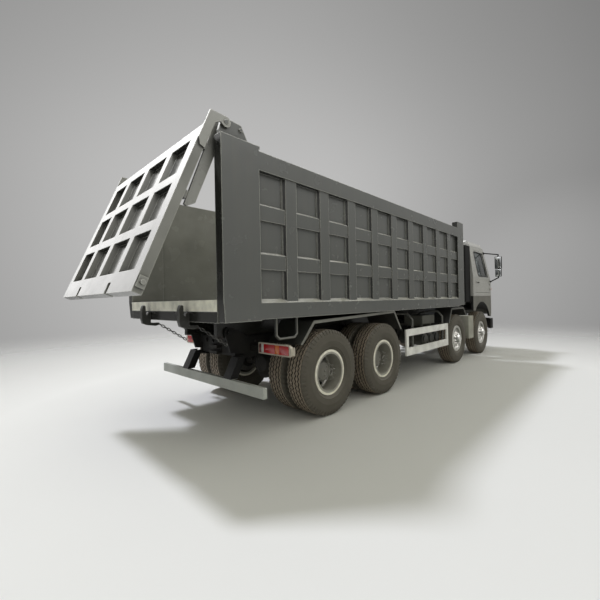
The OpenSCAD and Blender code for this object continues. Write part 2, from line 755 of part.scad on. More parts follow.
module bumper() {
  t = 70;
  x0 = a1_x + steer_reach;
  y = cab_y + 10;
  z0 = bumper_low + 70;
  z1 = bumper_top - 60;
  color([0.08, 0.08, 0.08]) seat() {
    difference() {
      slab(bumper_low, bumper_top, bumper_form(0));
      slab(bumper_low - eps, bumper_top + eps, concat(bumper_form(t), [[x0 - 40, t - y], [x0 - 40, y - t]]));
      both() block([bumper_x - t + 8, lamp_hole[0], z0], [bumper_x + eps, lamp_hole[1], z1]);
      // air slots between the lamps
      for (k = [0 : 2]) block([bumper_x - 20, -380, z0 + 10 + 50 * k], [bumper_x + eps, 380, z0 + 36 + 50 * k]);
    }
    both() block([frame_front, rail_in, frame_bot], [bumper_x - t + 10, rail_out, frame_bot + 110]);
    // steps at the bumper's corners
    both() block([x0 + 60, y - t - 60, bumper_low + 30], [x0 + 190, y - t + 10, bumper_low + 60]);
  }
}

module headlamps() {
  color([0.9, 0.9, 0.95]) seat() both()
    block([bumper_x - 62, lamp_hole[0], bumper_low + 70], [bumper_x - 10, lamp_hole[1], bumper_top - 60]);
}

// cross bearers under the bed's floor
bearers = 10;
bearer_half = 40;

function bearer_x(i) = mix(post_front + 470, front_post_x - 280, i / (bearers - 1));

// floor plate, cross bearers and long beams of the bed
module bed_floor() {
  out = recess_half + recess_t;
  front = bed_front_x - 60;
  under = floor_z - floor_t;
  beam_out = rail_out - 10;
  color([0.35, 0.35, 0.34]) seat() {
    difference() {
      union() {
        block([-bed_back + plate_t + fit_gap, -post_in, under], [front, post_in, floor_z]);
        block([post_front, -sheet_in, under], [front_post_x, sheet_in, floor_z]);
      }
      block([recess_x - 30, -out, under - eps], [front + eps, out, floor_z + eps]);
    }
    for (i = [0 : bearers - 1]) cross_bar(bearer_x(i) - bearer_half, bearer_x(i) + bearer_half,
      [[-sheet_in, under + eps], [-sheet_in, under - 70], [-rail_out - 60, sill_z + 3], [rail_out + 60, sill_z + 3],
      [sheet_in, under - 70], [sheet_in, under + eps]]);
    both() difference() {
      union() {
        block([-tip_back - 150, rail_in, frame_top + move_gap], [recess_x, beam_out, under + eps]);
        pin_y(-tip_back, tip_z, 2.2 * tip_r, rail_in, beam_out);
      }
      pin_y(-tip_back, tip_z, tip_r + 2 * fit_gap, rail_in - eps, beam_out + eps);
    }
    both() block([recess_x - 10, out, sill_z + 3], [front, out + 80, under + eps]);
    // sill under the gate: pale wear plate above, upright plate below and its gussets
    side_plate(-post_in, post_in, [[-bed_back, floor_z + 36], [-bed_back + plate_t, floor_z + 36],
      [-bed_back + plate_t, sill_z - 17], [-bed_back + 8, sill_z - 17], [-bed_back + 8, floor_z - 84],
      [-bed_back, floor_z - 84]]);
    both() for (y = [hook_y, post_in - 60]) side_plate(y - 8, y + 8, [[-bed_back + plate_t, under - fit_gap],
      [-bed_back + plate_t, sill_z - 10], [-bed_back + 110, under - fit_gap]]);
  }
}

// the four rails of a side wall: lower edge, upper edge and outer face
panel_h = (wall_h - top_rail_h - 2 * mid_rail_h + 5) / 3;
rail_rows = [[sill_z, floor_z - 5, bed_y],
  [floor_z - 5 + panel_h, floor_z - 5 + panel_h + mid_rail_h, bed_y - mid_set],
  [wall_top - top_rail_h - panel_h - mid_rail_h, wall_top - top_rail_h - panel_h, bed_y - mid_set],
  [wall_top - top_rail_h, wall_top, bed_y]];
rib_first = post_front + end_panel + rib_w / 2;
rib_pitch = (front_post_x - post_front - 2 * end_panel - rib_w) / (rib_count - 1);
ledge_slope = 0.67;

// one side wall with its rails, ribs and posts
module bed_side() {
  x0 = -bed_back;
  x1 = bed_front_x;
  hinge_y0 = gate_half - 45;
  hinge_y1 = gate_half - move_gap;
  rib_y = bed_y - rib_set;
  root = rib_w / 2 + rib_flare;
  foot = 18;
  foot_y = sheet_out + 9;
  block([x0 + 100, sheet_in, sill_z], [x1 - 60, sheet_out, wall_top]);
  // rails with sloping upper faces that shed the load
  for (r = rail_rows)
    cross_bar(post_front - 10, front_post_x + 20, [[sheet_out - eps, r[0]], [r[2], r[0]], [r[2], r[1]],
      [sheet_out - eps, min(r[1] + ledge_slope * (r[2] - sheet_out), wall_top)]]);
  // folded ribs with flared flanks and welded feet, standing on the lower rail's ledge
  for (i = [0 : rib_count - 1]) translate([rib_first + rib_pitch * i, 0, 0])
    slab(sill_z + 20, wall_top - 20, [[-root - foot, sheet_out - eps], [root + foot, sheet_out - eps],
      [root + foot, foot_y], [root, foot_y], [rib_w / 2, rib_y], [-rib_w / 2, rib_y], [-root, foot_y],
      [-root - foot, foot_y]]);
  // rear post with cap and hinge plate
  side_plate(post_in, bed_y, [[x0, floor_z + 30], [x0, post_top], [post_front, post_top],
    [post_front, sill_z - 12], [x0 + 18, sill_z - 12]]);
  block([x0, post_in, post_top - eps], [post_front + 12, bed_y, post_top + cap_t]);
  side_plate(hinge_y0, hinge_y1, [[x0 + 20, post_top + cap_t / 2], [x0 + 20, post_top + 80],
    [gate_pin_x - 30, gate_pin_z + 44], [gate_pin_x + 20, gate_pin_z + 56], [x0 + 290, gate_pin_z + 40],
    [x0 + 360, post_top + 80], [x0 + 360, post_top + cap_t / 2]]);
  pin_y(gate_pin_x, gate_pin_z, gate_pin_r, hinge_y0, gate_half + arm_t + 5);
  pin_y(gate_pin_x + 190, gate_pin_z - 14, 22, hinge_y0, hinge_y1 + 16);
  // front post
  block([front_post_x, post_in, sill_z + 28], [x1, bed_y, wall_top + 145]);
}

module bed_side_left() { color(bed_grey) seat() bed_side(); }

module bed_side_right() { color(bed_grey) seat() mirror([0, 1, 0]) bed_side(); }

// front wall with the recess that the hoist stands in, its ribs and the hoist's bracket
module bed_front() {
  x1 = bed_front_x;
  top = wall_top + 90;
  out = recess_half + recess_t;
  eye_z = hoist_z + hoist_len;
  hood = 220;
  color(bed_grey) seat() {
    both() {
      block([x1 - 60, recess_half, sill_z], [x1, post_in, top]);
      block([recess_x, recess_half, sill_z], [x1 - 60, out, wall_top - 30]);
      block([x1, out + 20, wall_top - 50], [x1 + hood, post_in, top - 10]);
      for (k = [1 : 3]) let (y = mix(recess_half, post_in, k / 3 - 0.06))
        block([x1, y - 40, sill_z], [x1 + 60, y + 40, wall_top - 50]);
      block([x1 - 30, hoist_eye / 2 + 55, eye_z - 90], [hoist_x + 70, hoist_eye / 2 + 85, eye_z + 90]);
      block([x1 - 30, hoist_eye / 2 + 55, eye_z - 90], [x1, recess_half, eye_z + 90]);
    }
    block([recess_x - 30, -out, sill_z], [recess_x, out, wall_top - 30]);
    block([recess_x - 30, -out, wall_top - 30], [x1, out, wall_top]);
    block([x1 - 60, -recess_half, wall_top], [x1, recess_half, top]);
  }
}

// mudguards and hoops hung under the bed
module bed_mudguards() {
  y0 = twin_y - 310;
  y1 = twin_y + 290;
  z0 = frame_top - 80;
  za = sill_z - 73;
  zb = sill_z - 13;
  back = -tyre_r + 24;
  front = r1_x + tyre_r + 66;
  hoop = [-tyre_r - 287, -tyre_r + 47];
  hoop_y = y1 - 90;
  t = 12;
  lip = 26;
  color(dark) seat() both() {
    side_plate(y0, y1, [[back, z0], [back + t, z0 - 6], [back + 248, za], [front - 238, zb], [front - t, z0 + 5],
      [front, z0 + 9], [front - 228, zb + t], [back + 242, za + t]]);
    // outer lip that stiffens the guard
    side_plate(y1 - t, y1, [[back + t, z0 - 6], [back + t + lip, z0 - 6], [back + 248 + lip / 2, za - lip],
      [front - 238 - lip / 2, zb - lip], [front - t - lip, z0 + 5], [front - t, z0 + 5], [front - 238, zb],
      [back + 248, za]]);
    // hangers beside two of the floor's cross bearers
    block([bearer_x(1) + bearer_half, y0 + 40, za + 6], [bearer_x(1) + bearer_half + 40, y0 + 80, sill_z + 60]);
    block([bearer_x(4) - bearer_half - 40, y0 + 40, zb], [bearer_x(4) - bearer_half, y0 + 80, sill_z + 60]);
    tube([[hoop[0], hoop_y, sill_z + 60], [hoop[0], hoop_y, frame_top + 50], [hoop[0] + 45, hoop_y, frame_top + 10],
      [hoop[1] - 45, hoop_y, frame_top + 10], [hoop[1], hoop_y, frame_top + 50], [hoop[1], hoop_y, sill_z + 60]], 18);
    for (x = hoop) block([x - 30, hoop_y - 30, sill_z + 50], [x + 30, sheet_in, sill_z + 90]);
  }
}

// one flat link of the latch chain
module link(l) {
  w = 0.6 * l;
  t = 0.15 * l;
  linear_extrude(1.2 * t, center = true) difference() {
    polygon([[t - l / 2, -w / 2], [l / 2 - t, -w / 2], [l / 2, 0], [l / 2 - t, w / 2], [t - l / 2, w / 2],
      [-l / 2, 0]]);
    polygon([[2 * t - l / 2, t - w / 2], [l / 2 - 2 * t, t - w / 2], [l / 2 - t, 0],
      [l / 2 - 2 * t, w / 2 - t], [2 * t - l / 2, w / 2 - t], [t - l / 2, 0]]);
  }
}

link_l = 60;

// gate hooks on the sill with their chains
module latch_hooks() {
  b = -bed_back;
  z = sill_z;
  links = 10;
  color([0.2, 0.2, 0.2]) seat() both() {
    side_plate(hook_y - hook_t / 2, hook_y + hook_t / 2, [[b + 8, z + 83], [b + 8, z - 55], [b + 60, z - 62],
      [b + 118, z - 62], [b + 128, z - 88], [b + 70, z - 103], [b - 30, z - 89], [b - 92, z - 65], [b - 106, z - 17],
      [b - 106, z + 123], [b - 92, z + 165], [b - 74, z + 173], [b - 58, z + 161], [b - 56, z + 123],
      [b - 56, z + 63], [b - 40, z + 45], [b - 20, z + 83]]);
    translate([b + 123, hook_y, z - 78]) rotate([0, 33, 0]) for (i = [0 : links - 1])
      translate([26 + 0.77 * link_l * i, 0, 0]) rotate([90 * (i % 2), 0, 0]) link(link_l);
  }
}

// the gate turned open about its pins
module gate_pose() {
  translate([gate_pin_x, 0, gate_pin_z]) rotate([0, gate_open, 0]) children();
}

// frame bars of the tailgate: rows are heights from its lower edge, columns across
gate_side = 150;
gate_foot = 210;
gate_head = 130;
gate_cell = (gate_h - gate_foot - gate_head - 2 * gate_bar + 20) / 3;
gate_rows = [[0, gate_foot], [gate_foot + gate_cell, gate_foot + gate_cell + gate_bar - 10],
  [gate_h - gate_head - gate_cell - gate_bar + 10, gate_h - gate_head - gate_cell], [gate_h - gate_head, gate_h]];
gate_cols = [for (k = [-1 : 1]) k * gate_half / 2 * 0.987];

module tailgate() {
  bar_x = gate_outer + gate_in;
  notch = hook_t / 2 + 10;
  color(bed_grey) seat() gate_pose() difference() {
    union() {
      block([bar_x, -gate_half, gate_low], [gate_inner, gate_half, gate_top]);
      // rows with sloping upper faces
      for (r = gate_rows) side_plate(-gate_half, gate_half, [[bar_x + eps, gate_low + r[0]],
        [gate_outer, gate_low + r[0]], [gate_outer, gate_low + r[1]],
        [bar_x + eps, gate_low + min(r[1] + 20, gate_h)]]);
      for (y = gate_cols) slab(gate_low, gate_top, [[gate_outer, y - gate_bar / 2], [gate_outer, y + gate_bar / 2],
        [bar_x + eps, y + gate_bar / 2 + 14], [bar_x + eps, y - gate_bar / 2 - 14]]);
      both() block([gate_outer, gate_half - gate_side, gate_low], [bar_x + eps, gate_half, gate_top]);
    }
    both() block([gate_outer - eps, hook_y - notch, gate_low - eps],
      [gate_inner + eps, hook_y + notch, gate_low + 112]);
  }
}

// hinge arms of the tailgate, the straps on its inner side and the lugs at its lower corners
module tailgate_arms() {
  reach = gate_top - 219;
  strap = gate_half - 110;
  color(bed_grey) seat() gate_pose() both() {
    difference() {
      side_plate(gate_half, gate_half + arm_t, concat([[gate_outer, -10], [gate_outer + 100, 25]],
        arc([0, 0], 2.1 * gate_pin_r, 110, -110, 8), [[-51, -40], [gate_inner, -96], [gate_inner, reach],
        [gate_outer + 36, reach], [gate_outer, reach + 63]]));
      pin_y(0, 0, gate_pin_r + 2 * fit_gap, gate_half - eps, gate_half + arm_t + eps);
    }
    side_plate(strap - 15, strap + 15, [[-60, 20], [-20, 48], [30, 48], [62, 10], [62, reach - 480], [0, reach - 550],
      [-30, reach - 550]]);
    for (z = [reach + 100, reach - 460]) block([gate_inner, strap - 25, z - 40], [-40, strap + 25, z + 40]);
    block([gate_outer + 6, gate_half, gate_low + 44], [gate_inner - 6, gate_half + arm_t, gate_low + 150]);
    pin_y(gate_outer + 44, gate_low + 97, 22, gate_half + arm_t, gate_half + 48);
  }
}

// hoist: barrel on trunnions, three stages that slide out of it
function stage_d(n) = hoist_d - (n > 0 ? 2 * hoist_wall + 2 : 0) - max(0, n - 1) * (2 * hoist_wall - 1);
slide_gap = 2;
hoist_eye = 110;
bracket_gap = 12;

module hoist_pose() { translate([hoist_x, 0, hoist_z]) children(); }

module hoist_barrel() {
  color([0.5, 0.1, 0.1]) seat() hoist_pose() {
    difference() {
      translate([0, 0, -barrel_tail]) cylinder(d = hoist_d, h = hoist_len - 230 + barrel_tail);
      translate([0, 0, -barrel_tail / 2]) cylinder(d = stage_d(1) + slide_gap, h = hoist_len);
    }
    both() translate([0, hoist_d / 2 + bracket_gap - fit_gap, 0]) rotate([90, 0, 0]) cylinder(r = 36, h = 18);
    translate([0, 0, hoist_len - 270]) difference() {
      cylinder(d = hoist_d + 16, h = 40);
      translate([0, 0, -eps]) cylinder(d = hoist_d - eps, h = 42);
    }
  }
}

module hoist_stage(n) {
  top = hoist_len - 230 + 30 * n;
  foot = 4 * n - 24;
  color("silver") seat() hoist_pose() {
    difference() {
      translate([0, 0, foot]) cylinder(d = stage_d(n), h = top - foot);
      if (n < 3) translate([0, 0, foot + 2]) cylinder(d = stage_d(n + 1) + slide_gap, h = hoist_len);
    }
    if (n == 3) difference() {
      union() {
        translate([0, 0, top - 10]) cylinder(d = 80, h = hoist_len - top - 30);
        pin_y(0, hoist_len, 62, -hoist_eye / 2, hoist_eye / 2);
      }
      pin_y(0, hoist_len, 26, -hoist_eye, hoist_eye);
    }
  }
}

module hoist_stage_1() { hoist_stage(1); }

module hoist_stage_2() { hoist_stage(2); }

module hoist_stage_3() { hoist_stage(3); }

// one rounded front corner of the cab seen from above, from the side to the nose, moved in by i
function nose_corner(i) = [for (k = [0 : 6]) let (a = 15 * k)
  [cab_front_x + (nose_len - i) * sin(a), cab_y - nose_side + (nose_side - i) * cos(a)]];

function flip(points) = [for (k = [len(points) - 1 : -1 : 0]) [points[k].x, -points[k].y]];

// cab seen from above, ahead of its doors
function cab_nose(i) = concat(nose_corner(i), flip(nose_corner(i)));

module cab_floor() {
  in = cab_y - cab_t - fit_gap;
  back = cab_back_x + cab_t + fit_gap;
  y1 = rail_out - 6;
  color([0.55, 0.55, 0.53]) seat() {
    slab(cab_low, floor_cab, concat([[back, in]], cab_nose(cab_t + fit_gap), [[back, -in]]));
    both() difference() {
      side_plate(y1 - 38, y1, concat([[tilt_x - 160, cab_low + eps]], arc([tilt_x, tilt_z], 42, 200, 340, 6),
        [[tilt_x + 46, cab_low + eps]]));
      pin_y(tilt_x, tilt_z, tilt_r + 2 * fit_gap, y1 - 60, y1 + 20);
    }
  }
}

far = 3000;

// a cab wall drawn in the X-Z plane, upright below the window line and leaning in above it
module cab_wall(y0, y1) {
  lap = 8;
  x0 = cab_back_x - 500;
  x1 = bumper_x + 500;
  difference() {
    union() {
      intersection() {
        translate([0, y1, 0]) rotate([90, 0, 0]) linear_extrude(y1 - y0) children();
        block([x0, 0, 0], [x1, far, belt_z]);
      }
      translate([0, cab_y, belt_z]) rotate([lean, 0, 0]) translate([0, -cab_y, -belt_z]) intersection() {
        translate([0, y1, 0]) rotate([90, 0, 0]) linear_extrude(y1 - y0) children();
        block([x0, 0, belt_z - lap], [x1, far, belt_z + far]);
      }
    }
    block([x0, 0, eave_z], [x1, far, belt_z + far]);
  }
}

// the windscreen pillar leans back from the window line's front end
pillar_z = belt_z - 90;
pillar_run = 0.42;
pillar_high = eave_z + 30;
pillar_top_x = cab_front_x - (pillar_high - pillar_z) * pillar_run;
door_back = cab_back_x + 200;
door_front = cab_front_x - 100;
door_low = floor_cab + 45;
door_high = eave_z - 80;

module side_shape() {
  polygon([[cab_back_x, cab_low], [cab_front_x, cab_low], [cab_front_x, pillar_z],
    [pillar_top_x, pillar_high], [cab_back_x, pillar_high]]);
}

// door outline grown by g
module door_shape(g) {
  polygon([[door_back - g, door_low - g], [door_front + g, door_low - g], [door_front + g, pillar_z],
    [door_front + g - (door_high - pillar_z + g) * pillar_run, door_high + g], [door_back - g, door_high + g]]);
}

// window in the door, its front edge along the pillar, its rear edge sloping forward to a round corner
module door_window() {
  z0 = belt_z + 35;
  z1 = door_high - 45;
  f = door_front - 95;
  r = 110;
  polygon(concat([[f - (z0 - pillar_z) * pillar_run, z0], [f - (z1 - pillar_z) * pillar_run, z1]],
    arc([door_back + 120, z1 - 40], 40, 90, 180, 4), arc([door_back + 200 + r, z0 + r], r, 180, 270, 5)));
}

// door hinges: heights of their lower ends
hinge_rows = [door_low + 45, pillar_z - 116];
hinge_x = door_front + move_gap / 2;
hinge_y = cab_y + 10;
hinge_r = 6;

module cab_sides() {
  color(cab_grey) seat() both() {
    cab_wall(cab_y - cab_t, cab_y) difference() {
      side_shape();
      door_shape(move_gap);
    }
    for (z = hinge_rows) {
      translate([hinge_x, hinge_y, z]) cylinder(r = hinge_r, h = 100);
      block([hinge_x, cab_y, z], [hinge_x + 45, hinge_y + hinge_r, z + 40]);
    }
  }
}

module door_panel() {
  knuckle_r = hinge_y - cab_y - fit_gap;
  cab_wall(cab_y - cab_t, cab_y) difference() {
    door_shape(0);
    door_window();
  }
  // handle
  block([door_back + 40, cab_y, belt_z - 150], [door_back + 160, cab_y + 22, belt_z - 115]);
  for (z = hinge_rows) difference() {
    union() {
      translate([hinge_x, hinge_y, z + 42]) cylinder(r = knuckle_r, h = 54);
      block([hinge_x - 60, cab_y, z + 42], [hinge_x, hinge_y + 8, z + 96]);
    }
    translate([hinge_x, hinge_y, z]) cylinder(r = hinge_r + fit_gap, h = 120);
  }
}

glass_t = 8;

module door_pane() { cab_wall(cab_y - (cab_t + glass_t) / 2, cab_y - (cab_t - glass_t) / 2) door_window(); }

module door_left() { color(cab_grey) seat() door_panel(); }

module door_right() { color(cab_grey) seat() mirror([0, 1, 0]) door_panel(); }

module door_glass_left() { color(pane) seat() door_pane(); }

module door_glass_right() { color(pane) seat() mirror([0, 1, 0]) door_pane(); }

// half width of the back wall at height z
function back_half(z) = cab_y - cab_t - eps - max(0, z - belt_z) * tan(lean);

// window in the back wall: half width, lower and upper edge
back_window = [520, belt_z + 100, eave_z - 160];

module cab_back() {
  z1 = belt_z - 8;
  color(cab_grey) seat() difference() {
    cross_bar(cab_back_x, cab_back_x + cab_t, [[-back_half(0), cab_low], [back_half(0), cab_low],
      [back_half(0), z1], [back_half(eave_z), eave_z], [-back_half(eave_z), eave_z], [-back_half(0), z1]]);
    cross_bar(cab_back_x - eps, cab_back_x + cab_t + eps, round_box([-back_window[0], back_window[1]],
      [back_window[0], back_window[2]], 60));
  }
}

roof_half = cab_y - window_h * tan(lean);
roof_x = pillar_top_x + 16;
roof_nose = roof_x + 194;
shoulder_h = 132;
roof_back = 120;

eave_t = 2;

// front of the roof at height z
function roof_front(z) = roof_nose - (z - eave_z - eave_t) * roof_back / shoulder_h + fit_gap;

// the roof's dome between its eave, its shoulder and its crown, moved in by i
module roof_form(i) {
  half = roof_half - 60;
  nose = nose_side - 130;
  crown = roof_half - 233;
  hull() {
    slab(eave_z - (i > 0 ? eps : 0), eave_z + eave_t, [[cab_back_x + i, roof_half - i], [roof_x - i, roof_half - i],
      [roof_nose - i, roof_half - nose - i], [roof_nose - i, nose + i - roof_half], [roof_x - i, i - roof_half],
      [cab_back_x + i, i - roof_half]]);
    slab(eave_z + shoulder_h - i, eave_z + shoulder_h + eave_t - i, [[cab_back_x + 20 + i, half - i],
      [roof_x - 46 - i, half - i], [roof_nose - roof_back - i, half - nose - i],
      [roof_nose - roof_back - i, nose - half + i], [roof_x - 46 - i, i - half], [cab_back_x + 20 + i, i - half]]);
    slab(eave_z + roof_h - eave_t - i, eave_z + roof_h - i, [[cab_back_x + 120, crown], [roof_x - 146, crown],
      [roof_x - 146, -crown], [cab_back_x + 120, -crown]]);
  }
}

module cab_roof() {
  color(cab_grey) seat() difference() {
    roof_form(0);
    roof_form(cab_t);
  }
}

screen_half = cab_y - nose_side + 49;

// corner pillar beside the windscreen, between the window line and the roof
module pillar() {
  low = nose_corner(0);
  foot_x = cab_front_x + 2;
  head_x = roof_x + 3;
  hull() {
    slab(pillar_z - eps, pillar_z, [[foot_x, cab_y - 2], low[2], low[4], [low[5].x, screen_half],
      [nose_x - 100, screen_half], [foot_x, cab_y - 110]]);
    slab(eave_z - eps, eave_z, [[head_x, roof_half - 6], [roof_nose - 15, screen_half + 31],
      [roof_nose, screen_half], [roof_nose - 80, screen_half], [head_x, roof_half - 94]]);
  }
}

cab_foot = bumper_top + 120;

module cab_front() {
  color(cab_grey) seat() {
    difference() {
      slab(cab_foot, pillar_z, cab_nose(0));
      slab(cab_foot - eps, pillar_z + eps, concat(cab_nose(cab_t), [[cab_front_x - 400, cab_t - cab_y],
        [cab_front_x - 400, cab_y - cab_t]]));
    }
    both() pillar();
  }
}

// windscreen, from just inside the nose up to the roof's front
glass_low = [nose_x - 60, pillar_z + 12];
glass_high = [roof_nose - 8, eave_z - 2];

module cab_glass() {
  t = glass_t + 2;
  color(pane) seat() {
    side_plate(-screen_half + fit_gap, screen_half - fit_gap, [glass_low, [glass_low.x + t, glass_low.y],
      [glass_high.x + t, glass_high.y], glass_high]);
    cross_bar(cab_back_x + 20, cab_back_x + 30, round_box([fit_gap - back_window[0], back_window[1] + fit_gap],
      [back_window[0] - fit_gap, back_window[2] - fit_gap], 60));
  }
}

grille_half = cab_y - nose_side - 70;
grille_low = cab_foot + 70;
grille_t = 24;
grille_pitch = 80;

// grille, sun visor and intake duct behind the cab
module cab_trim() {
  bar = 40;
  rows = 6;
  visor = roof_nose + 160;
  duct = cab_back_x - 400;
  color(black) seat() {
    for (i = [0 : rows - 1]) block([nose_x, -grille_half, grille_low + grille_pitch * i],
      [nose_x + grille_t, grille_half, grille_low + grille_pitch * i + bar]);
    both() block([nose_x, grille_half - 20, grille_low],
      [nose_x + grille_t, grille_half + 20, grille_low + grille_pitch * (rows - 1) + bar]);
    side_plate(-screen_half + 100, screen_half - 100, [[roof_front(eave_z + 20), eave_z + 20],
      [visor, eave_z - 50], [visor + 4, eave_z - 38], [roof_front(eave_z + 60), eave_z + 60]]);
    slab(cab_low - 150, eave_z - 20, round_box([duct, 60 - cab_y], [cab_back_x, 310 - cab_y], 40));
  }
}

// two mirrors on bent arms at each front pillar
module mirrors() {
  x = cab_front_x - 80;
  y = cab_y + 230;
  top = eave_z - 140;
  arm = 16;
  head = 35;
  // feet of the arms: the upper one on the leaning wall ahead of the door, the lower one below the window line
  foot_z = eave_z - 100;
  foot_x = door_front - (foot_z - pillar_z) * pillar_run + 50;
  foot_y = cab_y - (foot_z - belt_z) * tan(lean) + arm;
  color(black) seat() both() {
    translate([0, cab_y, belt_z]) rotate([lean, 0, 0]) translate([0, -cab_y, -belt_z])
      block([foot_x - 25, cab_y, foot_z - 30], [foot_x + 25, cab_y + 20, foot_z + 30]);
    tube([[foot_x, foot_y, foot_z], [x, y, top], [x, y, top - 70]], arm);
    tube([[x + 35, cab_y + 14, belt_z - 95], [x, y, belt_z + 10], [x, y, belt_z + 70]], arm);
    block([x + 10, cab_y, belt_z - 120], [x + 60, cab_y + 28, belt_z - 70]);
    // main mirror above, wide-angle mirror below
    slab(belt_z + 260, top - 60, round_box([x - head, y - 90], [x + head, y + 90], 30));
    slab(belt_z + 40, belt_z + 248, round_box([x - head, y - 80], [x + head, y + 80], 30));
    slab(belt_z + 240, belt_z + 268, round_box([x - 12, y - 20], [x + 12, y + 20], 8));
  }
}

wheel_y = 480;

module dashboard() {
  x1 = nose_x - 120;
  half = screen_half - 60;
  z1 = pillar_z - 10;
  hand = [x1 - 450, wheel_y, belt_z - 40];
  color([0.1, 0.1, 0.1]) seat() {
    side_plate(-half, half, [[x1 - 120, floor_cab], [x1, floor_cab], [x1, z1], [x1 - 200, z1], [x1 - 240, z1 - 40],
      [x1 - 240, z1 - 150], [x1 - 120, z1 - 190]]);
    rod([x1 - 225, wheel_y, z1 - 110], hand, 30);
    translate(hand) rotate([0, -55, 0]) {
      rotate_extrude() translate([215, 0]) circle(r = 15, $fn = 24);
      for (k = [0 : 2]) rotate([0, 0, 120 * k + 90]) block([0, -20, -8], [215, 20, 8]);
      translate([0, 0, -20]) cylinder(r = 60, h = 40);
    }
  }
}

seat_x = cab_back_x + 250;

module seats() {
  color([0.15, 0.15, 0.16]) seat() for (y = [wheel_y, -wheel_y]) {
    block([seat_x + 110, y - 200, floor_cab], [seat_x + 550, y + 200, floor_cab + 240]);
    block([seat_x + 50, y - 250, floor_cab + 240], [seat_x + 590, y + 250, floor_cab + 370]);
    block([seat_x, y - 240, floor_cab + 370], [seat_x + 140, y + 240, floor_cab + 880]);
    block([seat_x + 20, y - 130, floor_cab + 880], [seat_x + 120, y + 130, floor_cab + 1060]);
  }
}

// fenders under the doors and wheel housings of the first axle
module cab_arches() {
  r = steer_reach + 93;
  z = axle_z + 50;
  y1 = cab_y - 4;
  y0 = cab_y - 60;
  t = 10;
  color([0.3, 0.3, 0.3]) seat() both() {
    difference() {
      side_plate(y0, y1, [[cab_back_x - 10, frame_top + 120], [cab_front_x, frame_top - 100],
        [cab_front_x, cab_low], [cab_back_x - 10, cab_low]]);
      pin_y(a1_x, z, r, 0, far);
    }
    intersection() {
      difference() {
        pin_y(a1_x, z, r + t, front_y - 185, y0);
        pin_y(a1_x, z, r, 0, far);
      }
      block([cab_back_x - far, 0, frame_top + 120], [bumper_x + far, far, cab_low]);
    }
  }
}

chassis_frame();
front_axles();
leaf_springs();
rear_axles();
engine();
tanks();
side_boxes();
guard_rails();
underrun();
rear_lamps();
axle_mudguards();
bumper();
headlamps();
bed_floor();
bed_side_left();
bed_side_right();
bed_front();
bed_mudguards();
latch_hooks();
tailgate();
tailgate_arms();
hoist_barrel();
hoist_stage_1();
hoist_stage_2();
hoist_stage_3();
cab_floor();
cab_sides();
cab_back();
cab_roof();
cab_front();
cab_glass();
cab_trim();
mirrors();
dashboard();
seats();
cab_arches();
door_left();
door_right();
door_glass_left();
door_glass_right();
knuckle(0);  // knuckle_1_left
knuckle(1);  // knuckle_1_right
knuckle(2);  // knuckle_2_left
knuckle(3);  // knuckle_2_right
rim_front(0);  // rim_1_left
rim_front(1);  // rim_1_right
rim_front(2);  // rim_2_left
rim_front(3);  // rim_2_right
rim_rear(0);  // rim_3_left
rim_rear(1);  // rim_3_right
rim_rear(2);  // rim_4_left
rim_rear(3);  // rim_4_right
tyre_front(0);  // tyre_1_left
tyre_front(1);  // tyre_1_right
tyre_front(2);  // tyre_2_left
tyre_front(3);  // tyre_2_right
tyre_rear(0);  // tyre_3_left
tyre_rear(1);  // tyre_3_right
tyre_rear(2);  // tyre_4_left
tyre_rear(3);  // tyre_4_right
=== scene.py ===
"""Four-axle tipper truck: looks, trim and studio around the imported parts.

Metres, +X forward, +Y left, +Z up.
"""
import json
from math import cos, exp, pi, radians, sin

import bpy
from mathutils import Matrix, Vector
from mathutils.bvhtree import BVHTree
from mathutils.geometry import convex_hull_2d


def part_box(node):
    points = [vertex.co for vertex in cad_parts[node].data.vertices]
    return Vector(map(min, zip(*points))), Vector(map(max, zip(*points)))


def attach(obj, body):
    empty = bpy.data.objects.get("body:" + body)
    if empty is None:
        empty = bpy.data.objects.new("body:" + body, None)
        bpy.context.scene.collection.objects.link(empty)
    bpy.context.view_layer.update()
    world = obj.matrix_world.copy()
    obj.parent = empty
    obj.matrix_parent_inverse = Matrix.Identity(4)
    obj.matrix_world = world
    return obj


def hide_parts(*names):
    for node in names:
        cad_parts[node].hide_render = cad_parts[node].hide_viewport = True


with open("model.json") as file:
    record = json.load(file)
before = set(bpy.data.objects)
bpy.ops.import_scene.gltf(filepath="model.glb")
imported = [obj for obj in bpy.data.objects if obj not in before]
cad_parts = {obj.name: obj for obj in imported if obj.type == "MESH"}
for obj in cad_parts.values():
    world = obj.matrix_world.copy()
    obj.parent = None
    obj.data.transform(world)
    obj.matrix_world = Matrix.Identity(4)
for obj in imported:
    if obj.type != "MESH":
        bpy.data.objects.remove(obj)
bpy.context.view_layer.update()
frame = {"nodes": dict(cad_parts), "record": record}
nodes = frame["nodes"]
bodies = frame["record"]["behaviour"]["bodies"]
body_of_node = {n: body for body, members in bodies.items() for n in members}
SIDES = ((1, "left"), (-1, "right"))
STEERED_AXLES = "12"


# Materials: tools

def tone(rgb, k=1.0):
    """An RGB colour made k times as bright."""
    return tuple(min(1.0, c * k) for c in rgb) + (1.0,)


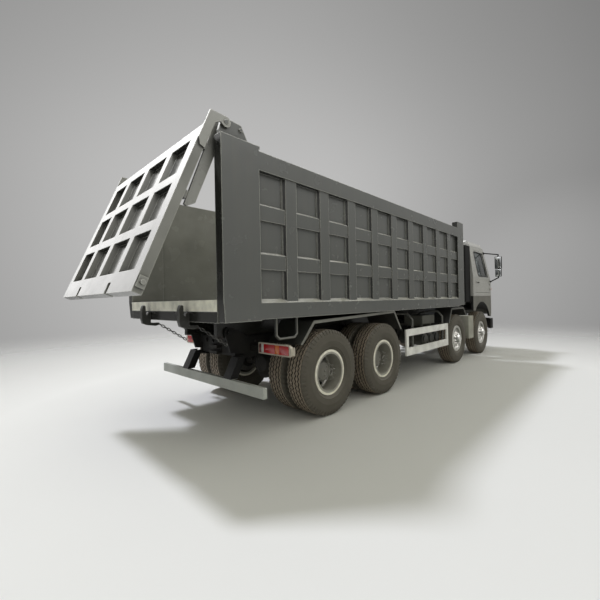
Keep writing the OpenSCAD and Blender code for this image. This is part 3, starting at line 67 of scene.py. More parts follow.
class Graph:
    """A node tree with short ways to add and link nodes."""

    def __init__(self, tree):
        self.tree = tree

    def add(self, kind, inputs=None, **settings):
        n = self.tree.nodes.new(kind)
        for key, value in settings.items():
            setattr(n, key, value)
        for key, value in (inputs or {}).items():
            self.put(n.inputs[key], value)
        return n

    def put(self, socket, value):
        if isinstance(value, bpy.types.NodeSocket):
            self.tree.links.new(value, socket)
        else:
            socket.default_value = value

    def fit(self, value, low, high, to_low=0.0, to_high=1.0, smooth=False):
        n = self.add("ShaderNodeMapRange", {"Value": value, "From Min": low, "From Max": high,
                                            "To Min": to_low, "To Max": to_high},
                     interpolation_type="SMOOTHSTEP" if smooth else "LINEAR")
        return n.outputs["Result"]

    def math(self, operation, a, b=0.0):
        n = self.add("ShaderNodeMath", operation=operation)
        self.put(n.inputs[0], a)
        self.put(n.inputs[1], b)
        return n.outputs[0]

    def vector(self, operation, a, b=None):
        n = self.add("ShaderNodeVectorMath", operation=operation)
        self.put(n.inputs[0], a)
        if b is not None:
            self.put(n.inputs[1], b)
        return n.outputs["Value"] if operation in ("DOT_PRODUCT", "LENGTH") else n.outputs["Vector"]

    def axis(self, vector, letter):
        return self.add("ShaderNodeSeparateXYZ", {"Vector": vector}).outputs[letter]

    def blend(self, fac, a, b):
        """A number between a and b."""
        n = self.add("ShaderNodeMix", data_type="FLOAT")
        self.put(n.inputs[0], fac)
        self.put(n.inputs[2], a)
        self.put(n.inputs[3], b)
        return n.outputs[0]


class Shader(Graph):
    """A material around one Principled BSDF."""

    def __init__(self, name):
        self.material = bpy.data.materials.new(name)
        self.material.use_nodes = True
        super().__init__(self.material.node_tree)
        self.bsdf = self.tree.nodes["Principled BSDF"]

    def set(self, **values):
        for key, value in values.items():
            self.put(self.bsdf.inputs[key.replace("_", " ")], value)

    def coords(self):
        return self.add("ShaderNodeTexCoord").outputs["Object"]

    def place(self, letter):
        """The point's place along an axis."""
        return self.axis(self.coords(), letter)

    def facing(self, letter):
        """The normal's part along an axis, in the piece's own frame."""
        return self.axis(self.add("ShaderNodeTexCoord").outputs["Normal"], letter)

    def noise(self, scale, detail=4.0, vector=None):
        inputs = {"Vector": vector or self.coords(), "Scale": scale, "Detail": detail}
        return self.add("ShaderNodeTexNoise", inputs).outputs["Fac"]

    def mix(self, fac, a, b):
        n = self.add("ShaderNodeMix", data_type="RGBA")
        self.put(n.inputs[0], fac)
        self.put(n.inputs[6], a)
        self.put(n.inputs[7], b)
        return n.outputs[2]

    def shades(self, fac, color, low, high):
        """A colour between low and high times its brightness."""
        return self.mix(fac, tone(color, low), tone(color, high))

    def bevel(self, radius):
        return self.add("ShaderNodeBevel", {"Radius": radius}, samples=4).outputs["Normal"]

    def edges(self, radius, low=0.02, high=0.25):
        """1 at sharp edges, 0 on flat faces."""
        hard = self.add("ShaderNodeNewGeometry").outputs["Normal"]
        alike = self.vector("DOT_PRODUCT", self.bevel(radius), hard)
        return self.fit(self.math("SUBTRACT", 1.0, alike), low, high)

    def up(self):
        """1 on faces that look up, 0 on the rest."""
        return self.fit(self.facing("Z"), 0.3, 0.9)

    def hollows(self, reach, deepest):
        """1 in the open, falling to deepest where the surface is shut in; it darkens the colour as painted
        shade.
        """
        n = self.add("ShaderNodeAmbientOcclusion", {"Distance": reach}, samples=6)
        return self.fit(n.outputs["AO"], 0.35, 0.92, deepest, 1.0)

    def height(self, low, high):
        """1 at height low and 0 at height high."""
        return self.fit(self.place("Z"), low, high, 1.0, 0.0)

    def relief(self, height, strength, distance, normal=None):
        n = self.add("ShaderNodeBump", {"Height": height, "Strength": strength, "Distance": distance})
        if normal:
            self.put(n.inputs["Normal"], normal)
        self.set(Normal=n.outputs["Normal"])


# Materials: kinds

DUST = (0.36, 0.33, 0.27)
# painted shade: near black laid on rear and under faces, in shut-in hollows and on the underframe below the
# bed floor
PAINTED_SHADE = (0.012, 0.012, 0.01)
STREAK = (0.2, 0.19, 0.165)
# painted highlight: pale grey on the bed's sharp edges
EDGE_HIGHLIGHT = (0.5, 0.5, 0.46)
# up-facing ledges: partly settled dust, partly painted light from above
LEDGE_DUST_AND_LIGHT = (0.68, 0.67, 0.61)
BRAKE_DUST = (0.2, 0.18, 0.15)
ROAD_DUST = (0.15, 0.13, 0.105)
SILL_PALE = (0.95, 0.935, 0.8)
# the pale band's height and the depth of the sill behind it
SILL_BAND, SILL_DEEP = 0.12, 0.07
FACE_SLACK = 0.002
RING_BLUR = 0.003
sill_low, sill_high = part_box("bed_floor")


def surface(name, color, rough, metal=0.0, spread=0.14, grain=70.0, bump=0.08, dust=0.0, edge=0.0,
            coat=0.0, round_edges=0.0, shine=0.5, edge_tone=1.9):
    """Paint, plastic or metal: cloudy, finely grained, dusty on top and low down, with paler edges: worn
    edges at a low edge_tone, a painted highlight at a high one.
    """
    s = Shader(name)
    base = s.shades(s.fit(s.noise(1.6, 6.0), 0.3, 0.7), color, 1 - spread, 1 + spread)
    fine = s.noise(grain, 3.0)
    if edge:
        # worn edges, made paler by edge_tone; at a high edge_tone, as on the hooks, this is a painted
        # highlight
        worn = s.math("MULTIPLY", s.edges(0.008), s.fit(s.noise(9.0, 5.0), 0.35, 0.65, 0.0, edge))
        base = s.mix(worn, base, tone(color, edge_tone))
    if dust:
        settled = s.math("MULTIPLY", s.up(), 0.8)
        splash = s.math("MULTIPLY", s.height(0.2, 1.6), 0.7)
        patches = s.fit(s.noise(5.0, 8.0), 0.35, 0.7, 0.0, dust)
        cover = s.math("MULTIPLY", s.math("MAXIMUM", settled, splash), patches)
        base = s.mix(cover, base, tone(DUST))
    s.set(Base_Color=base, Metallic=metal, Coat_Weight=coat, Specular_IOR_Level=shine)
    s.set(Roughness=s.fit(fine, 0.3, 0.7, rough * 0.85, min(1.0, rough * 1.15)))
    s.relief(fine, bump, 0.002, s.bevel(round_edges) if round_edges else None)
    return s.material


def sill_bands(s, base):
    """Worn pale band on the sill's rear face, and painted shade on the underframe ahead of it."""
    behind = s.math("LESS_THAN", s.place("X"), sill_low.x + FACE_SLACK)
    above = s.math("GREATER_THAN", s.place("Z"), sill_high.z - SILL_BAND)
    band = s.shades(s.fit(s.noise(8.0, 8.0), 0.4, 0.75), SILL_PALE, 1.05, 0.7)
    base = s.mix(s.math("MULTIPLY", behind, above), base, band)
    # painted shade: below the floor's top and ahead of the sill, the underframe is darkened
    ahead_of_sill = s.math("GREATER_THAN", s.place("X"), sill_low.x + SILL_DEEP)
    below = s.math("LESS_THAN", s.place("Z"), sill_high.z - 2 * FACE_SLACK)
    return s.mix(s.math("MULTIPLY", ahead_of_sill, below), base, tone(PAINTED_SHADE, 1.2))


def steel_bed(name, color, pale_sill=False, rough=0.24, lit_facing=None):
    """Bed paint: smooth grey with downward streaks, painted highlights on edges, ledges pale with dust and
    painted light, and painted shade on rear and under faces and in hollows.

    The fourth argument is (axis, way, colour): faces that look that way are made paler, as painted light.
    """
    s = Shader(name)
    base = s.shades(s.fit(s.noise(0.8, 3.0), 0.3, 0.7), color, 0.95, 1.05)
    stretch = s.add("ShaderNodeMapping", {"Vector": s.coords(), "Scale": (14.0, 14.0, 0.9)})
    streak = s.fit(s.noise(1.0, 6.0, stretch.outputs["Vector"]), 0.42, 0.72)
    base = s.mix(s.math("MULTIPLY", streak, 0.1), base, tone(STREAK))
    # painted light: faces that look the given way are made paler
    if lit_facing:
        letter, way, lit_color = lit_facing
        painted_lit = s.shades(s.fit(s.noise(3.0, 8.0), 0.3, 0.75), lit_color, 1.1, 0.8)
        base = s.mix(s.fit(s.math("MULTIPLY", s.facing(letter), way), 0.85, 0.95), base, painted_lit)
    # painted shade: faces that look rearwards or down are darkened towards black
    rear = s.fit(s.facing("X"), -0.5, -0.8, 0.0, 0.92)
    under = s.fit(s.facing("Z"), -0.3, -0.7, 0.0, 0.92)
    base = s.mix(s.math("MAXIMUM", rear, under), base, tone(PAINTED_SHADE))
    # painted highlight: sharp edges are turned pale grey
    worn = s.math("MULTIPLY", s.edges(0.014, 0.01, 0.12), s.fit(s.noise(3.0, 4.0), 0.3, 0.6, 0.75, 1.0))
    base = s.mix(worn, base, tone(EDGE_HIGHLIGHT))
    # up-facing ledges turn pale: partly settled dust, partly painted light
    dust_and_lit_ledges = s.math("MULTIPLY", s.up(), s.fit(s.noise(3.0, 5.0), 0.3, 0.7, 0.45, 0.95))
    base = s.mix(dust_and_lit_ledges, base, tone(LEDGE_DUST_AND_LIGHT))
    if pale_sill:
        base = sill_bands(s, base)
    # painted shade: the colour darkens towards black where the surface is shut in
    s.set(Base_Color=s.mix(s.hollows(0.09, 0.2), tone(PAINTED_SHADE), base), Specular_IOR_Level=0.6)
    s.set(Roughness=s.fit(s.noise(5.0, 6.0), 0.3, 0.7, rough * 0.8, rough * 1.2))
    s.relief(s.noise(1.6, 0.0), 0.08, 0.02, s.bevel(0.006))
    return s.material


def wheel_paint(name, center, rings, metal):
    """Rim paint by distance from the axle: rings are (radius, colour) from the hub out."""
    s = Shader(name)
    flat = s.vector("MULTIPLY", s.vector("SUBTRACT", s.coords(), center), (1.0, 0.0, 1.0))
    radius = s.vector("LENGTH", flat)
    base = tone(rings[0][1])
    for r, color in rings[1:]:
        base = s.mix(s.fit(radius, r - RING_BLUR, r + RING_BLUR), base, tone(color))
    grime = s.math("MULTIPLY", s.fit(s.noise(11.0, 8.0), 0.42, 0.75), 0.35)
    fine = s.noise(120.0, 3.0)
    s.set(Base_Color=s.mix(grime, base, tone(BRAKE_DUST)), Metallic=metal)
    s.set(Roughness=s.fit(fine, 0.3, 0.7, 0.3, 0.42))
    s.relief(fine, 0.1, 0.001, s.bevel(0.004))
    return s.material


def rubber(name, color, dusty=0.12):
    """Tyre rubber: cloudy, with a patchy film of dust and a fine moulded grain."""
    s = Shader(name)
    base = s.shades(s.fit(s.noise(5.0, 4.0), 0.35, 0.7), color, 0.92, 1.08)
    film = s.math("MULTIPLY", s.fit(s.noise(16.0, 6.0), 0.45, 0.75), dusty)
    fine = s.noise(220.0, 3.0)
    s.set(Base_Color=s.mix(film, base, tone(ROAD_DUST)), Specular_IOR_Level=0.35)
    s.set(Roughness=s.fit(fine, 0.3, 0.7, 0.63, 0.77))
    s.relief(fine, 0.25, 0.001)
    return s.material


def lens(name, color):
    """Lamp lens: coloured clear plastic with fine moulded ribs."""
    s = Shader(name)
    wave = s.add("ShaderNodeTexWave", {"Vector": s.coords(), "Scale": 13.0, "Distortion": 0.4},
                 bands_direction="Y").outputs["Fac"]
    s.set(Base_Color=s.shades(wave, color, 0.75, 1.1), Roughness=0.18, Coat_Weight=0.6,
          Transmission_Weight=0.3, IOR=1.5)
    s.relief(wave, 0.3, 0.002)
    return s.material


def glass(name, color, rough=0.03):
    """Window glass with a thin film of dust."""
    s = Shader(name)
    film = s.shades(s.fit(s.noise(2.5, 5.0), 0.4, 0.75), color, 0.9, 1.15)
    s.set(Base_Color=film, Roughness=s.fit(s.noise(6.0, 6.0), 0.4, 0.8, rough, rough + 0.12),
          Transmission_Weight=0.92, IOR=1.45)
    return s.material


def cloth(name, color):
    """Woven seat cover."""
    s = Shader(name)
    inputs = {"Vector": s.coords(), "Scale": 90.0, "Distortion": 1.5}
    weave = s.add("ShaderNodeTexWave", inputs).outputs["Fac"]
    base = s.shades(s.math("MULTIPLY", weave, s.noise(40.0)), color, 0.7, 1.5)
    s.set(Base_Color=base, Roughness=0.9, Sheen_Weight=0.3)
    s.relief(weave, 0.4, 0.002)
    return s.material


def two_tone(name, near, far, split, letter="Z"):
    """Cloudy paint that changes from near to far at the distance split along an axis, both ways."""
    s = Shader(name)
    beyond = s.math("GREATER_THAN", s.math("ABSOLUTE", s.place(letter)), split)
    cloud = s.fit(s.noise(4.0, 6.0), 0.3, 0.7)
    base = s.mix(beyond, s.shades(cloud, near, 0.9, 1.1), s.shades(cloud, far, 0.8, 1.2))
    fine = s.noise(80.0, 3.0)
    s.set(Base_Color=base, Roughness=s.fit(fine, 0.3, 0.7, 0.5, 0.65), Specular_IOR_Level=0.25)
    s.relief(fine, 0.08, 0.002, s.bevel(0.004))
    return s.material


def lip_paint(name, sheet, lip):
    """Sheet metal that is paler on its outward edges, where it looks sideways."""
    s = Shader(name)
    side = s.fit(s.math("ABSOLUTE", s.facing("Y")), 0.8, 0.95)
    cloud = s.fit(s.noise(4.0, 6.0), 0.3, 0.7)
    base = s.mix(side, s.shades(cloud, sheet, 0.8, 1.2), s.shades(cloud, lip, 0.88, 1.12))
    fine = s.noise(80.0, 3.0)
    s.set(Base_Color=base, Roughness=s.fit(fine, 0.3, 0.7, 0.42, 0.56))
    s.relief(fine, 0.08, 0.002, s.bevel(0.003))
    return s.material


# Materials of the truck

BED = (0.126, 0.13, 0.128)
CAB = (0.47, 0.465, 0.45)
BLACK = (0.008, 0.008, 0.008)
SILVER = (0.72, 0.71, 0.68)
SPOKE_GREY = (0.5, 0.5, 0.48)
LIT_INSIDE = (0.29, 0.29, 0.26)


def cab_paint(name, round_edges):
    """Glossy cab paint; round_edges is the radius that its corners seem to have."""
    return surface(name, CAB, 0.28, spread=0.05, bump=0.03, dust=0.1, coat=0.4, round_edges=round_edges)


# looks of the record's material slots
look = {
    "frame_paint": surface("frame_paint", (0.009, 0.009, 0.009), 0.55, dust=0.12, edge=0.3, shine=0.2),
    "cast_black": surface("cast_black", (0.013, 0.0125, 0.012), 0.62, dust=0.15, bump=0.3, edge=0.2,
                          shine=0.2),
    "engine_paint": surface("engine_paint", (0.06, 0.065, 0.07), 0.5, dust=0.3, bump=0.2),
    "lamp_red": surface("lamp_frame", (0.55, 0.5, 0.42), 0.4, dust=0.2, round_edges=0.004),
    "lamp_clear": surface("lamp_back", (0.5, 0.52, 0.54), 0.2, metal=0.9, spread=0.05, bump=0.02),
    "black_plastic": surface("black_plastic", BLACK, 0.6, dust=0.06, bump=0.25, grain=180.0,
                             round_edges=0.006, shine=0.15),
    # painted highlight: the hooks' edges are twelve times as bright as their steel
    "hook_steel": surface("hook_steel", (0.03, 0.03, 0.027), 0.45, dust=0.1, edge=1.0,
                          round_edges=0.006, edge_tone=12.0),
    "hoist_paint": surface("hoist_paint", (0.1, 0.1, 0.105), 0.42, dust=0.3),
    "rod_steel": surface("rod_steel", (0.6, 0.6, 0.6), 0.14, metal=1.0, spread=0.05, bump=0.02),
    "cab_paint": cab_paint("cab_paint", 0.01),
    "glass": glass("glass", (0.36, 0.39, 0.39)),
    "interior": surface("interior", (0.04, 0.04, 0.042), 0.7, bump=0.3, grain=240.0, round_edges=0.01),
    "seat_cloth": cloth("seat_cloth", (0.07, 0.072, 0.085)),
    "tyre": rubber("tyre", (0.092, 0.084, 0.068)),
}

# looks of the pieces that only this script makes
seal_rubber = surface("seal_rubber", (0.014, 0.014, 0.014), 0.7, bump=0.1)
nut_steel = surface("nut_steel", (0.2, 0.195, 0.175), 0.45, metal=0.1, dust=0.15)
bright_nut = surface("bright_nut", SILVER, 0.28, metal=0.9, spread=0.1, bump=0.05)
bolt_steel = surface("bolt_steel", (0.07, 0.068, 0.062), 0.42, metal=0.5, dust=0.2)
mirror_glass = surface("mirror_glass", (0.75, 0.77, 0.78), 0.03, metal=1.0, spread=0.03, bump=0.0)
bowl_metal = surface("bowl_metal", (0.8, 0.81, 0.82), 0.08, metal=1.0, spread=0.03, bump=0.0)
red_lens = lens("red_lens", (0.62, 0.016, 0.02))
deep_red_lens = lens("deep_red_lens", (0.2, 0.012, 0.012))
amber_lens = lens("amber_lens", (0.85, 0.2, 0.015))
white_lens = lens("white_lens", (0.85, 0.84, 0.8))
clear_lens = glass("clear_lens", (0.9, 0.92, 0.94), 0.01)
# tread tops: pale partly with road dust, partly as painted highlight
tread_top_dust_and_highlight = rubber("tread_top_dust_and_highlight", (0.27, 0.225, 0.175), dusty=0.15)
# painted shade: the grooves are near black
groove_painted_shade = rubber("groove_painted_shade", (0.01, 0.009, 0.008), dusty=0.02)

# rims: radius from which each colour goes on, from the hub out
rim_low, rim_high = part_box("rim_1_left")
FLANGE_R = (rim_high.z - rim_low.z) / 2
LIP = 0.03
FRONT_RINGS = [(0.0, SPOKE_GREY), (0.11, SILVER), (0.235, SPOKE_GREY), (0.252, (0.78, 0.77, 0.72))]
REAR_RINGS = [(0.0, (0.2, 0.196, 0.175)), (0.115, (0.08, 0.078, 0.07)), (0.185, (0.11, 0.107, 0.098)),
              (0.225, (0.36, 0.35, 0.31)), (FLANGE_R - LIP, (0.95, 0.92, 0.8))]
FRONT_METAL, REAR_METAL = 0.75, 0.1

# looks of single nodes, in place of their slots' looks
PLANK_THICK = 0.031
UNDERRUN_BAR = 0.123
BOX_SPLIT_X = 1.6
plank_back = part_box("guard_rails")[1].y - PLANK_THICK
bar_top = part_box("underrun")[0].z + UNDERRUN_BAR
round_cab = cab_paint("round_cab_paint", 0.07)
NODE_LOOK = {
    "bed_floor": steel_bed("bed_sill_paint", BED, pale_sill=True),
    # painted light: the gate's faces that look right are made paler
    "tailgate": steel_bed("gate_paint", BED, rough=0.2, lit_facing=("Y", -1.0, (0.27, 0.27, 0.255))),
    # painted light: the strap's paint is paler than the bed's, standing for light on it
    "tailgate_arms": steel_bed("arm_paint", (0.36, 0.36, 0.345), rough=0.3),
    # painted light: the inner faces of the walls and the front are made paler
    "bed_side_left": steel_bed("bed_paint_left", BED, lit_facing=("Y", -1.0, LIT_INSIDE)),
    "bed_side_right": steel_bed("bed_paint_right", BED, lit_facing=("Y", 1.0, LIT_INSIDE)),
    "bed_front": steel_bed("bed_paint_front", BED, lit_facing=("X", -1.0, LIT_INSIDE)),
    "underrun": two_tone("underrun_paint", (0.41, 0.425, 0.4), BLACK, bar_top),
    "bed_mudguards": lip_paint("guard_lip_paint", (0.035, 0.036, 0.032), (0.19, 0.19, 0.17)),
    "axle_mudguards": lip_paint("hoop_paint", (0.03, 0.03, 0.028), (0.11, 0.11, 0.1)),
    "cab_roof": round_cab,
    "cab_front": round_cab,
    "cab_arches": lip_paint("arch_paint", BLACK, (0.16, 0.155, 0.138)),
    "tanks": surface("dark_box", (0.035, 0.036, 0.034), 0.5, dust=0.3, edge=0.3, round_edges=0.008),
    "guard_rails": two_tone("plank_paint", (0.16, 0.16, 0.15), (0.8, 0.795, 0.78), plank_back, "Y"),
    "side_boxes": two_tone("box_pair_paint", (0.13, 0.13, 0.115), (0.34, 0.335, 0.29), BOX_SPLIT_X, "X"),
}


def steers(rim):
    """Whether a rim, which is named after its axle and side, is on a steered axle."""
    return rim.split("_")[1] in STEERED_AXLES


def material_of(name, slot_name):
    """A node's material: rims have their own, other nodes that of the node or of its slot."""
    if slot_name != "rim_paint":
        return NODE_LOOK.get(name) or look[slot_name]
    low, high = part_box(name)
    rings, metal = (FRONT_RINGS, FRONT_METAL) if steers(name) else (REAR_RINGS, REAR_METAL)
    return wheel_paint("rim_paint_" + name[4:], (low + high) / 2, rings, metal)


for part in frame["record"]["subparts"]:
    slots = nodes[part["node"]].data.materials
    slots.clear()
    slots.append(material_of(part["node"], part["material_slot"]))


# Pieces: tools

def piece(name, verts, faces, tags, body, materials, angle=35.0):
    """A mesh object that rides on a body; tags give each face's material."""
    mesh = bpy.data.meshes.new(name)
    mesh.from_pydata(verts, [], faces)
    for m in materials:
        mesh.materials.append(m)
    mesh.polygons.foreach_set("material_index", tags)
    mesh.validate()
    mesh.shade_smooth()
    mesh.set_sharp_from_angle(angle=radians(angle))
    obj = bpy.data.objects.new(name, mesh)
    bpy.context.scene.collection.objects.link(obj)
    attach(obj, body)
    return obj


def circle(r, z, sides):
    """Points of a circle about Z at height z."""
    return [Vector((r * cos(2 * pi * k / sides), r * sin(2 * pi * k / sides), z)) for k in range(sides)]


def rounded(x0, y0, x1, y1, r, z, steps):
    """A rounded rectangle at height z."""
    points = []
    corners = ((x1 - r, y1 - r), (x0 + r, y1 - r), (x0 + r, y0 + r), (x1 - r, y0 + r))
    for turn, (cx, cy) in enumerate(corners):
        for k in range(steps + 1):
            a = pi / 2 * (turn + k / steps)
            points.append((cx + r * cos(a), cy + r * sin(a), z))
    return points


class Build:
    """Collects closed forms into one mesh."""

    # a pad's corner radius is this much over its inset, so that the corner points of its end rings stay apart
    OVER = 1.0001

    def __init__(self):
        self.verts = []
        self.faces = []
        self.tags = []
        self.tag = 0

    def loft(self, rings, caps=True):
        """Joins rings of equal length; each ring is a closed loop of points."""
        base, n = len(self.verts), len(rings[0])
        for ring in rings:
            self.verts += [tuple(p) for p in ring]
        before = len(self.faces)
        for i in range(len(rings) - 1):
            for k in range(n):
                a, b = base + i * n + k, base + i * n + (k + 1) % n
                self.faces.append((a, b, b + n, a + n))
        if caps:
            self.faces.append(tuple(base + k for k in reversed(range(n))))
            last = base + (len(rings) - 1) * n
            self.faces.append(tuple(last + k for k in range(n)))
        self.tags += [self.tag] * (len(self.faces) - before)

    def pad(self, low, high, r=0.006, steps=3):
        """A box with its twelve edges rounded, as a loft of rounded sections along Z."""
        low, high = Vector(low), Vector(high)
        r = min([r] + [0.49 * (high[i] - low[i]) for i in range(3)])
        turns = [pi / 2 * k / steps for k in range(steps + 1)]
        levels = [(r * (1 - sin(a)), low.z + r * (1 - cos(a))) for a in turns]
        levels += [(inset, high.z + low.z - z) for inset, z in reversed(levels)]
        self.loft([rounded(low.x + inset, low.y + inset, high.x - inset, high.y - inset,
                           r * self.OVER - inset, z, steps) for inset, z in levels])

    def spin(self, center, axis, profile, sides):
        """Turns (radius, along) points about an axis through center."""
        turn = Vector(axis).to_track_quat("Z", "Y")
        self.loft([[Vector(center) + turn @ p for p in circle(r, z, sides)] for r, z in profile])

    def sweep(self, path, profile, up, close=False):
        """Carries a small closed profile (side, height) along a path."""
        pts = [Vector(p) for p in path]
        rings = []
        for i, p in enumerate(pts):
            before = pts[i - 1] if i or close else p
            after = pts[(i + 1) % len(pts)] if i < len(pts) - 1 or close else p
            way = (after - before).normalized()
            side = way.cross(Vector(up)).normalized()
            lift = side.cross(way)
            rings.append([p + side * u + lift * v for u, v in profile])
        self.loft(rings + ([rings[0]] if close else []), caps=not close)

    def bolt(self, at, out, size, length, stud=True):
        """A washer, a hexagon with a chamfered end and, where asked, the stud's tip."""
        self.spin(at, out, [(size * 1.3, 0), (size * 1.3, size * 0.3)], 12)
        self.spin(at, out, [(size, size * 0.25), (size, length * 0.85), (size * 0.84, length)], 6)
        if stud:
            self.spin(at, out, [(size * 0.5, length * 0.8), (size * 0.5, length * 1.45),
                                (size * 0.36, length * 1.55)], 10)

    def make(self, name, body, materials, angle=35.0):
        return piece(name, self.verts, self.faces, self.tags, body, materials, angle)


def tree_of(*names):
    """A search tree over the faces of CAD nodes."""
    verts, faces = [], []
    for n in names:
        base = len(verts)
        mesh = nodes[n].data
        verts += [v.co.copy() for v in mesh.vertices]
        faces += [[base + i for i in p.vertices] for p in mesh.polygons]
    return BVHTree.FromPolygons(verts, faces)


# how far out a ray towards the truck starts
OUTSIDE = 10


# Tyres: zigzag grooves, notched shoulders and ringed walls

tyre_low, tyre_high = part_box("tyre_1_left")
TYRE_R = tyre_high.z / 2
TYRE_HALF = (tyre_high.y - tyre_low.y) / 2
TWIN_LEAST = 0.01
BEAD_R = FLANGE_R - 0.042
PITCHES = 56
GROOVE = 0.018
ZIG = 0.0095
# a notch's depth, how far it pulls the shoulder in, and the distance from the middle where that begins
NOTCH, NOTCH_IN, NOTCH_FROM = 0.005, 0.006, 0.12
# the tread's gap to the CAD tyre at its middle, and its drop at a distance from the middle
CROWN_GAP, CROWN_DROP, CROWN_HALF = 0.0005, 0.0035, 0.115
SIDEWALL, RIB, SUNK = 0, 1, 2
# places round one pitch: share of the pitch, and whether the shoulder is notched there
STATIONS = [(0.0, 0), (0.25, 0), (0.29, 1), (0.5, 1), (0.71, 1), (0.75, 0)]
# half profile from the bead to the shoulder: distance from the middle, radius, notch share
WALL = [(0.109, BEAD_R, 0), (0.109, FLANGE_R + 0.001, 0), (0.122, FLANGE_R + 0.012, 0), (0.136, 0.334, 0),
        (0.143, 0.340, 0), (0.143, 0.348, 0), (0.145, 0.356, 0), (0.1525, 0.385, 0), (0.155, 0.405, 0),
        (0.1565, 0.411, 0), (0.1565, 0.417, 0), (0.155, 0.423, 0), (0.1535, 0.452, 0), (0.1505, 0.478, 0),
        (0.147, 0.497, 0), (0.1455, 0.503, 0.1), (0.146, 0.506, 0.6), (0.142, 0.522, 1), (0.134, 0.543, 1),
        (0.125, 0.5555, 1), (0.116, 0.5595, 1)]
# from the shoulder to the middle: distance from the middle, depth share, zigzag share, notch share,
# and the look on the middle's side of it
TREAD = [(0.108, 0, 0.8, 1, RIB), (0.100, 0, 1, 0.4, RIB), (0.0855, 0, 1, 0, SUNK), (0.083, 1, 1, 0, SUNK),
         (0.071, 1, 1, 0, SUNK), (0.0685, 0, 1, 0, RIB), (0.0365, 0, -1, 0, SUNK), (0.034, 1, -1, 0, SUNK),
         (0.022, 1, -1, 0, SUNK), (0.0195, 0, -1, 0, RIB)]


def crown(w):
    """Tread radius at distance w from the middle."""
    return TYRE_R - CROWN_GAP - CROWN_DROP * (w / CROWN_HALF) ** 2


def tyre_rows():
    """Rows across one tyre from side to side (place, radius, zigzag, notch), and the look between rows."""
    half = [(w, r, 0, notch) for w, r, notch in WALL]
    half += [(w, crown(w) - GROOVE * deep, zig, notch) for w, deep, zig, notch, _ in TREAD]
    looks = [SIDEWALL] * len(WALL) + [row[-1] for row in TREAD]
    rows = [(-w, *rest) for w, *rest in half] + [(w, *rest) for w, *rest in reversed(half)]
    return rows, looks + looks[-2::-1]


def add_tyre(verts, faces, tags, center, offset):
    """One tyre about the Y axis, moved by offset along it."""
    rows, looks = tyre_rows()
    base, n = len(verts), len(rows)
    columns = PITCHES * len(STATIONS)
    for p in range(PITCHES):
        for share, notched in STATIONS:
            a = 2 * pi * (p + share) / PITCHES
            wave = 4 * abs(share - 0.5) - 1
            for w, r, zig, notch in rows:
                side = 1 if w > 0 else -1
                cut = notch * notched
                pulled_in = NOTCH_IN * cut if abs(w) > NOTCH_FROM else 0
                y = center.y + offset + w + side * (ZIG * wave * zig - pulled_in)
                radius = r - NOTCH * cut
                verts.append((center.x + radius * cos(a), y, center.z + radius * sin(a)))
    for c in range(columns):
        here, there = base + c * n, base + (c + 1) % columns * n
        for k in range(n - 1):
            faces.append((here + k, there + k, there + k + 1, here + k + 1))
            tags.append(looks[k])
        faces.append((here + n - 1, there + n - 1, there, here))
        tags.append(SIDEWALL)


for name in sorted(n for n in nodes if n.startswith("tyre_")):
    low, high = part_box(name)
    twin = (high.y - low.y) / 2 - TYRE_HALF
    verts, faces, tags = [], [], []
    for offset in ([-twin, twin] if twin > TWIN_LEAST else [0.0]):
        add_tyre(verts, faces, tags, (low + high) / 2, offset)
    tread = piece("tread_" + name[5:], verts, faces, tags, body_of_node[name],
                  [look["tyre"], tread_top_dust_and_highlight, groove_painted_shade], angle=32.0)
    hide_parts(name)


# Wheel nuts

NUTS = 10
# how far inside the hub's end each ring of bolts stands, its radius, its nut size and length
FRONT_NUTS = [(0.086, 0.124, 0.0165, 0.03), (0.0, 0.05, 0.009, 0.012)]
REAR_NUTS = [(0.156, 0.131, 0.016, 0.03), (0.001, 0.04, 0.009, 0.011), (0.016, 0.098, 0.01, 0.012)]
for name in sorted(n for n in nodes if n.startswith("rim_")):
    low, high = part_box(name)
    center = (low + high) / 2
    out = 1 if center.y > 0 else -1
    outer = high.y if out > 0 else low.y
    circles, steel = (FRONT_NUTS, bright_nut) if steers(name) else (REAR_NUTS, nut_steel)
    b = Build()
    for inside, radius, size, length in circles:
        for k in range(NUTS):
            a = 2 * pi * (k + 0.5) / NUTS
            at = (center.x + radius * cos(a), outer - out * inside, center.z + radius * sin(a))
            b.bolt(at, (0, out, 0), size, length)
    b.make("nuts_" + name[4:], body_of_node[name], [steel], angle=30.0)


# Rear lamps: five lenses in each frame

lamp_low, lamp_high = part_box("rear_lamps")
LAMP_LENGTH = 0.595
LENS_FROM, LENS_TO = 0.014, 0.553
LENS_EDGE, LENS_PROUD, LENS_SUNK, LENS_ROUND = 0.016, 0.003, 0.005, 0.008
LENS_LOOKS = [deep_red_lens, red_lens, amber_lens, white_lens]
# each lens's two ends as shares of the frame's opening from its inner end, and its place in LENS_LOOKS
CELLS = [(0.0, 0.075, 0), (0.08, 0.16, 3), (0.165, 0.55, 1), (0.555, 0.69, 2), (0.695, 1.0, 1)]
for side, word in SIDES:
    b = Build()
    inner = lamp_high.y - LAMP_LENGTH + LENS_FROM
    for first, last, tag in CELLS:
        b.tag = tag
        ya, yb = sorted(side * (inner + (LENS_TO - LENS_FROM) * share) for share in (first, last))
        b.pad((lamp_low.x - LENS_PROUD, ya, lamp_low.z + LENS_EDGE),
              (lamp_low.x + LENS_SUNK, yb, lamp_high.z - LENS_EDGE), LENS_ROUND)
    b.make("lamp_lenses_" + word, "chassis", LENS_LOOKS)


# Headlamps: two bowls with bulbs behind a clear cover on each side

bumper_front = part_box("bumper")[1].x
head_low, head_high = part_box("headlamps")
HEAD_IN, HEAD_OUT = 0.48, 0.80
BOWL_IN = 0.085
